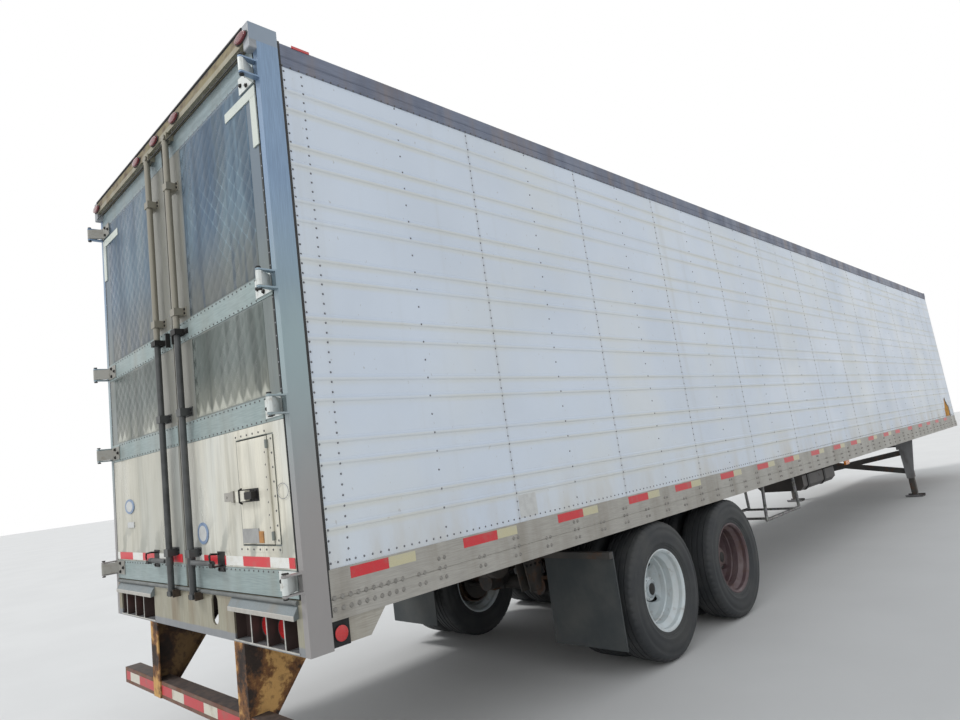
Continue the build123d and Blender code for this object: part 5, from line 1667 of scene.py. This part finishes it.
# Half of a tyre's section as (radius, place across): its sidewall from the bead out, and its shoulder
SIDEWALL = ((BEAD_RADIUS, 0.099), (0.291, 0.108), (0.3, 0.1135), (0.312, 0.121), (0.322, 0.1215),
            (0.326, 0.127), (0.338, 0.1305), (0.342, 0.1345), (0.356, 0.1375), (0.36, 0.1362),
            (0.385, 0.1412), (0.402, TYRE_HALF), (0.424, 0.1412), (0.428, 0.1392), (0.45, 0.1372),
            (0.454, 0.1386), (0.4655, 0.1362), (0.4785, 0.1305))
SHOULDER = ((0.489, 0.1225), (0.4975, 0.1145), (0.502, 0.1045), (0.5035, 0.092))


def tyre_profile(sizes):
    """Section of a tyre as (radius, place across, kind), from bead to bead."""
    half = [(radius, place, "side") for radius, place in SIDEWALL]
    half += [(radius, place, "shoulder") for radius, place in SHOULDER]
    section = [(radius, -place, kind) for radius, place, kind in half]
    for groove in GROOVES:
        crown = TYRE_RADIUS - 0.0002 - abs(groove) * 0.025
        floor = crown - sizes.groove
        section += [(crown, groove - GROOVE_HALF, "edge"), (floor, groove - GROOVE_FLOOR, "groove"),
                    (floor, groove + GROOVE_FLOOR, "groove"), (crown, groove + GROOVE_HALF, "edge")]
    return section + half[::-1] + [(BEAD_RADIUS, 0.0, "bead")]


def tyre(shape, x, y, sizes):
    """One tyre: straight ribs with wavy edges, notched shoulders and ringed sidewalls."""
    section = tyre_profile(sizes)
    steps = sizes.pitches * 4
    points = []
    for k in range(steps):
        turn = math.tau * k / steps
        for radius, place, kind in section:
            if kind == "shoulder" and k % 4 == 0:
                radius -= sizes.notch
            elif kind == "edge" and k % 4 == 2:
                place += EDGE_WAVE
            points.append((x + radius * math.cos(turn), y + place, WHEEL_Z + radius * math.sin(turn)))
    return shape.add(points, grid_faces(steps, len(section), True, True))


def make_tyres(sizes):
    """Twin tyres of the four wheel sets."""
    for place, x in AXLES:
        for side, sign in SIDES:
            shape = Shape()
            for offset in (-DUAL, DUAL):
                tyre(shape, at(x), sign * (TRACK + offset), sizes)
            body = f"{place}_{side}_wheels"
            made = shape.piece(f"tread_{place}_{side}", body, "tyre", "tyre_rubber", smooth=32)
            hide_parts(f"tyres_{place}_{side}")


# Places outwards from the middle of a pair of wheels, and rings of nuts: circle, count, radius and depth
DISC_FACE = 0.010
HUB_END = 0.15
CAP_BACK = 0.1615
WHEEL_NUTS = (0.143, 10, 0.019, 0.022)
HUB_BOLTS = (0.0765, 6, 0.0062, 0.006)
CAP = ((0.0, 0.0), (0.069, 0.0), (0.069, 0.004), (0.062, 0.008), (0.046, 0.009), (0.044, 0.006), (0.0, 0.006))
CAP_CENTRE = ((0.0, 0.0), (0.043, 0.0), (0.043, 0.009), (0.03, 0.013), (0.0, 0.015))
HUB_RINGS = ((0.0875, 0.06), (0.0875, 0.1), (0.088, 0.135))


def hub_place(x, sign, out):
    """A place on an axle's line, outwards from the middle of a pair of wheels."""
    return (at(x), sign * (TRACK + out), WHEEL_Z)


def wheel_fittings():
    """Nuts, rings of the hub, and hub caps with their bolts and dark centres."""
    for place, x in AXLES:
        slot, coat = ("rim_white", "hub_cap") if place == "rear" else ("rim_rusty", "hub_rust")
        for side, sign in SIDES:
            body = f"{place}_{side}_wheels"
            facing = (0, sign, 0)
            disc, end, back = (hub_place(x, sign, out) for out in (DISC_FACE, HUB_END, CAP_BACK))
            nut_ring(f"wheel_nuts_{place}_{side}", body, disc, facing, "hub_iron", slot, *WHEEL_NUTS)
            nut_ring(f"hub_bolts_{place}_{side}", body, end, facing, "bolt_black", slot, *HUB_BOLTS)
            cap = Shape()
            cap.lathe(CAP, back, 28, "Y", sign, False)
            for radius, out in HUB_RINGS:
                ring = ((radius - 0.003, 0.0), (radius, 0.001), (radius, 0.006), (radius - 0.003, 0.007))
                cap.lathe(ring, hub_place(x, sign, out), 32, "Y", sign)
            cap.piece(f"hub_cap_{place}_{side}", body, coat, slot, smooth=35)
            centre = Shape()
            centre.lathe(CAP_CENTRE, back, 24, "Y", sign, False)
            centre.piece(f"cap_centre_{place}_{side}", body, "bolt_black", slot, smooth=40)


# Nose unit, roof, torn corner and what lies under the floor
UNIT_FRONT = high("unit_shell").x
UNIT_HALF = high("unit_shell").y
UNIT_LOW = low("unit_shell").z
UNIT_DOOR_TOP = 3.1
UNIT_SIDE_TOP = 3.0
PANEL_OUT, PANEL_IN = 0.00005, 0.0015


def unit_doors():
    """Thin access doors on the front and sides of the nose unit."""
    doors = Shape()
    x = UNIT_FRONT
    face = UNIT_HALF - 0.115
    for y0, y1 in ((-face, -0.31), (-0.3, 0.3), (0.31, face)):
        doors.box(x - PANEL_IN, x - PANEL_OUT, y0, y1, UNIT_LOW + 0.03, UNIT_DOOR_TOP)
    for _, sign in SIDES:
        y = sign * UNIT_HALF
        doors.box(WALL_END + 0.17, x - 0.13, y - sign * PANEL_IN, y - sign * PANEL_OUT,
                  UNIT_LOW + 0.05, UNIT_SIDE_TOP)
    doors.piece("unit_panels", "trailer", "unit_white", "unit_white")


LAP_HALF = 0.02
LAP_RISE = 0.0012
LAP_SUNK = 0.0005
ROOF_EDGE_DROP = 0.018
ROOF_EDGE_Y, ROOF_MIDWAY_Y = 1.2, 0.61
ROOF_MIDWAY_RISE = 0.0135


def roof_laps():
    """Thin laps across the roof with a row of rivets on each."""
    top = high("roof").z
    edge = top - ROOF_EDGE_DROP
    midway = edge + ROOF_MIDWAY_RISE
    outline = [(-ROOF_EDGE_Y, edge), (-ROOF_MIDWAY_Y, midway), (0, top), (ROOF_MIDWAY_Y, midway),
               (ROOF_EDGE_Y, edge)]
    laps = Shape()
    rows = []
    for k in range(-1, 12):
        x = at(SEAM_FIRST + SEAM_PITCH * k)
        upper = [(x - LAP_HALF, y, z + LAP_RISE) for y, z in outline]
        lower = [(x - LAP_HALF, y, z - LAP_SUNK) for y, z in outline[::-1]]
        laps.prism(upper + lower, (LAP_HALF * 2, 0, 0))
        ridge = [(x, y, z + LAP_RISE) for y, z in outline]
        rows += [(start, end, UP) for start, end in zip(ridge, ridge[1:])]
    laps.piece("roof_laps", "trailer", "roof_paint", "white_panel")
    head_rows("roof_rivets", "trailer", rows, "white_panel", "rivet_grey", 0.08, 0.006, 0.003)


# Outline of the hole in the right wall's skin, as (x from the rear face, z)
TORN = ((15.06, 1.251), (15.11, 1.42), (15.19, 1.505), (15.26, 1.65), (15.4, 1.7), (15.47, 1.56),
        (15.62, 1.48), (15.66, 1.251))
TORN_CENTRE = Vector((15.37, 0, 1.42))
TORN_FROM, TORN_SIZE = (15.04, 1.245), (0.64, 0.47)
TORN_COLUMNS, TORN_ROWS = 46, 34
FOAM_BACK = 0.0145
TORN_SEED = 5


def inside_torn(x, z):
    """Whether a place lies in the hole: an odd number of its edges pass in front of it."""
    odd = False
    for (x0, z0), (x1, z1) in zip(TORN, TORN[1:] + TORN[:1]):
        if (z0 > z) != (z1 > z) and x < x0 + (z - z0) / (z1 - z0) * (x1 - x0):
            odd = not odd
    return odd


def torn_foam():
    """Rough insulation that shows through the hole, as a closed solid."""
    y = -WALL_SKIN
    columns, rows = TORN_COLUMNS, TORN_ROWS
    points, keep = [], {}
    for i in range(columns + 1):
        for j in range(rows + 1):
            x = TORN_FROM[0] + TORN_SIZE[0] * i / columns
            z = TORN_FROM[1] + TORN_SIZE[1] * j / rows
            broad, fine = noise.noise(Vector((x * 16, z * 16, 2))), noise.noise(Vector((x * 60, z * 60, 5)))
            depth = 0.0055 + 0.0045 * broad + 0.002 * fine
            points.append((at(x), y + 0.014 - max(depth, 0.0006), z))
            keep[i, j] = inside_torn(x, z)
    faces = []
    for i in range(columns):
        for j in range(rows):
            corners = ((i, j), (i + 1, j), (i + 1, j + 1), (i, j + 1))
            if all(keep[corner] for corner in corners):
                faces.append([a * (rows + 1) + b for a, b in corners])
    front = len(points)
    points += [(x, y + FOAM_BACK, z) for x, _, z in points]
    edges = dict.fromkeys((a, b) for face in faces for a, b in zip(face, face[1:] + face[:1]))
    walls = [[b, a, front + a, front + b] for a, b in edges if (b, a) not in edges]
    foam = Shape()
    foam.add(points, faces + walls + [[front + i for i in face[::-1]] for face in faces])
    foam.piece("torn_foam", "trailer", "foam", "white_panel", smooth=50)


def torn_sheet():
    """Bent tongues of the wall's skin round the hole, each of its own random length."""
    random.seed(TORN_SEED)
    y = -WALL_SKIN
    flaps = Shape()
    for (x0, z0), (x1, z1) in zip(TORN, TORN[1:]):
        mid = Vector(((x0 + x1) / 2, 0, (z0 + z1) / 2))
        out = (mid - TORN_CENTRE).normalized() * random.uniform(0.02, 0.05)
        skin = [(at(x0), y - 0.0002, z0), (at(x1), y - 0.0002, z1),
                (at(x1) - out.x * 0.4, y - 0.0046, z1 - out.z * 0.5),
                (at(mid.x) - out.x, y - 0.0056, mid.z - out.z),
                (at(x0) - out.x * 0.3, y - 0.005, z0 - out.z * 0.6)]
        walls = [[k, k + 5, (k + 1) % 5 + 5, (k + 1) % 5] for k in range(5)]
        flaps.add(skin + [(a, b + 0.0008, c) for a, b, c in skin], [[0, 1, 2, 3, 4], [9, 8, 7, 6, 5]] + walls)
    flaps.piece("torn_sheet", "trailer", "side_paint", "white_panel")


RIB_EDGE = 1.19
RIB_WIDE, RIB_PITCH, RIB_RISE = 0.032, 0.0545, 0.006
LOAD_START = at(0.13)


def floor_ribs():
    """The grooved floor of the load space."""
    ribs = Shape()
    y = -RIB_EDGE
    while y < RIB_EDGE:
        ribs.box(LOAD_START, NOSE - 0.11, y, y + RIB_WIDE, FLOOR_TOP - SUNK, FLOOR_TOP + RIB_RISE)
        y += RIB_PITCH
    ribs.piece("floor_ribs", "trailer", "floor_mill", "floor_aluminium")


SCUFF_TOP = 0.3
SCUFF_RIBS = (0.07, 0.15, 0.23)
SCUFF_RIB_HALF = 0.012


def wall_liners():
    """White liner sheets on the inner walls and ceiling, with an aluminium scuff band at the foot."""
    inner = HALF - 0.068
    end = NOSE - 0.1
    foot = FLOOR_TOP + SCUFF_TOP + 0.01
    liner = Shape()
    liner.box(LOAD_START, end, inner - 0.0015, inner + SUNK, foot, WALL_TOP - 0.002)
    liner.box(end - 0.0005, end + 0.0045, -inner, inner, foot, WALL_TOP - 0.002)
    liner.box(LOAD_START, end, 0, inner, WALL_TOP - 0.0015, WALL_TOP + SUNK)
    liner.mirrored().piece("wall_liners", "trailer", "liner_white", "white_panel")
    band = Shape()
    band.box(LOAD_START, end, inner - 0.004, inner + SUNK, FLOOR_TOP, FLOOR_TOP + SCUFF_TOP)
    for rise in SCUFF_RIBS:
        z = FLOOR_TOP + rise
        band.box(LOAD_START, end, inner - 0.008, inner - 0.0035, z - SCUFF_RIB_HALF, z + SCUFF_RIB_HALF)
    band.mirrored().piece("scuff_band", "trailer", "rail_mill", "rail_aluminium")


MIDDLE_LAMP = ((7.985, 1.0225), (8.165, 1.0225), (8.145, 0.968), (8.005, 0.968))
FILLER_CAP = ((0.0, 0.0), (0.042, 0.0), (0.042, 0.02), (0.036, 0.026), (0.0, 0.028))
FILLER_IN = (0.22, 0.14)


def under_lamps():
    """Amber side lamps half way along both rails, and the tank's filler cap."""
    lamps = Shape()
    lamps.prism([(at(x), HALF - 0.03, z) for x, z in MIDDLE_LAMP], (0, 0.026, 0))
    lamps.mirrored().piece("middle_lamps", "trailer", "lamp_amber", "lamp_red", bevel=0.004)
    cap = Shape()
    lowest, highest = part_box("fuel_tank")
    spot = (lowest.x + FILLER_IN[0], lowest.y + FILLER_IN[1], highest.z - 0.001)
    cap.lathe(FILLER_CAP, spot, 24, "Z", 1, False)
    cap.piece("tank_cap", "trailer", "bolt_black", "tank_grey", smooth=35)


HANGERS = (2.462, 3.7145, 4.967)
HANGER_FACES = ((0.4285, -1), (0.5315, 1))
CLIP_Y = (0.4375, 0.5225)
CLIP_RADIUS = 0.0085
CLIP_TOP = 0.65


def underbody_bolts():
    """Bolt heads of the carrier's hangers, and the clips that hold the springs to the axles."""
    rows = []
    for _, sign in SIDES:
        for x in HANGERS:
            for y, way in HANGER_FACES:
                facing = (0, way * sign, 0)
                rows += [level(at(x - 0.08), at(x + 0.08), sign * y, z, facing) for z in (0.84, 0.8)]
    head_rows("hanger_bolts", "trailer", rows, "chassis_black", "bolt_black", 0.053, 0.011, 0.008, 0.85, 6)
    clips = Shape()
    for _, x in AXLES:
        for place in (at(x - 0.06), at(x + 0.06)):
            for y in CLIP_Y:
                clips.tube([(place, y, 0.44), (place, y, CLIP_TOP + 0.002)], CLIP_RADIUS, 8)
            clips.tube([(place, y, CLIP_TOP) for y in CLIP_Y], CLIP_RADIUS, 8)
        clips.box(at(x - 0.085), at(x + 0.085), 0.425, 0.535, 0.434, 0.447)
    clips.mirrored().piece("spring_clips", "trailer", "spring_rust", "chassis_black", smooth=40)


# Operators, one for each piece or group of like pieces
class TRAILER_OT_stage(bpy.types.Operator):
    """Camera at the photograph's angle, even light and a pale floor"""

    bl_idname = "trailer.stage"
    bl_label = "Stage"

    def execute(self, context):
        make_stage(context.scene.trailer_stage)
        return {"FINISHED"}


class TRAILER_OT_coats(bpy.types.Operator):
    """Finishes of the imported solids"""

    bl_idname = "trailer.coats"
    bl_label = "Paint and metal"

    def execute(self, context):
        coat_nodes()
        return {"FINISHED"}


class TRAILER_OT_walls(bpy.types.Operator):
    """Rivets of the side walls, bolts and tape of the rails"""

    bl_idname = "trailer.walls"
    bl_label = "Walls and rails"

    def execute(self, context):
        sizes = context.scene.trailer_walls
        side_rivets(sizes)
        rail_bolts()
        rail_tape(sizes)
        return {"FINISHED"}


class TRAILER_OT_door_sheets(bpy.types.Operator):
    """Embossed and creased sheets of the rear doors"""

    bl_idname = "trailer.door_sheets"
    bl_label = "Door sheets"

    def execute(self, context):
        sizes = context.scene.trailer_doors
        quilted_sheets(sizes)
        lower_sheets(sizes)
        door_bands()
        middle_trim()
        door_tape()
        return {"FINISHED"}


class TRAILER_OT_door_gear(bpy.types.Operator):
    """Hinge bolts, lock gear, seals, liners and vent fittings of the doors"""

    bl_idname = "trailer.door_gear"
    bl_label = "Door gear"

    def execute(self, context):
        strap_bolts()
        hinge_pins()
        lock_gear()
        cam_ends()
        vent_frame()
        vent_marks()
        vent_latch()
        bare_stickers()
        door_seals()
        door_liners()
        return {"FINISHED"}


class TRAILER_OT_rear_frame(bpy.types.Operator):
    """Header, sill, lamps and impact guard"""

    bl_idname = "trailer.rear_frame"
    bl_label = "Rear frame"

    def execute(self, context):
        frame_trim()
        tail_lamps()
        side_lamps()
        marker_lamps()
        light_box_lips()
        guard_trim()
        return {"FINISHED"}


class TRAILER_OT_tyres(bpy.types.Operator):
    """Ribbed tyres of the four twin wheels"""

    bl_idname = "trailer.tyres"
    bl_label = "Tyres"

    def execute(self, context):
        make_tyres(context.scene.trailer_tyres)
        return {"FINISHED"}


class TRAILER_OT_wheels(bpy.types.Operator):
    """Nuts, hub rings and hub caps"""

    bl_idname = "trailer.wheels"
    bl_label = "Wheel fittings"

    def execute(self, context):
        wheel_fittings()
        return {"FINISHED"}


class TRAILER_OT_underbody(bpy.types.Operator):
    """Bolts, clips, lamps and cap under the floor"""

    bl_idname = "trailer.underbody"
    bl_label = "Underbody"

    def execute(self, context):
        under_lamps()
        underbody_bolts()
        return {"FINISHED"}


class TRAILER_OT_nose(bpy.types.Operator):
    """Nose unit, roof laps and the torn corner"""

    bl_idname = "trailer.nose"
    bl_label = "Nose and roof"

    def execute(self, context):
        unit_doors()
        roof_laps()
        torn_foam()
        torn_sheet()
        return {"FINISHED"}


class TRAILER_OT_inside(bpy.types.Operator):
    """Floor ribs and liners of the load space"""

    bl_idname = "trailer.inside"
    bl_label = "Load space"

    def execute(self, context):
        floor_ribs()
        wall_liners()
        return {"FINISHED"}


OPERATORS = (TRAILER_OT_stage, TRAILER_OT_coats, TRAILER_OT_walls, TRAILER_OT_door_sheets,
             TRAILER_OT_door_gear, TRAILER_OT_rear_frame, TRAILER_OT_tyres, TRAILER_OT_wheels,
             TRAILER_OT_underbody, TRAILER_OT_nose, TRAILER_OT_inside)
SETTINGS = (("trailer_walls", WallSettings), ("trailer_doors", DoorSettings), ("trailer_tyres", TyreSettings),
            ("trailer_stage", StageSettings))


class TRAILER_PT_finish(bpy.types.Panel):
    """Steps and sizes of the trailer's finish"""

    bl_idname = "TRAILER_PT_finish"
    bl_label = "Box semi trailer"
    bl_space_type = "VIEW_3D"
    bl_region_type = "UI"
    bl_category = "Trailer"

    def draw(self, context):
        for operator in OPERATORS:
            self.layout.operator(operator.bl_idname)
        for name, kind in SETTINGS:
            for size in kind.__annotations__:
                self.layout.prop(getattr(context.scene, name), size)


def register():
    """The classes, and the settings on the scene."""
    for _, kind in SETTINGS:
        bpy.utils.register_class(kind)
    for kind in (*OPERATORS, TRAILER_PT_finish):
        bpy.utils.register_class(kind)
    for name, kind in SETTINGS:
        setattr(bpy.types.Scene, name, PointerProperty(type=kind))


def unregister():
    """The settings and classes taken away again."""
    for name, _ in SETTINGS:
        delattr(bpy.types.Scene, name)
    for kind in (TRAILER_PT_finish, *OPERATORS[::-1]):
        bpy.utils.unregister_class(kind)
    for _, kind in SETTINGS:
        bpy.utils.unregister_class(kind)


def main():
    """Every step in order."""
    register()
    for operator in OPERATORS:
        group, name = operator.bl_idname.split(".")
        getattr(getattr(bpy.ops, group), name)()


if __name__ == "__main__":
    main()
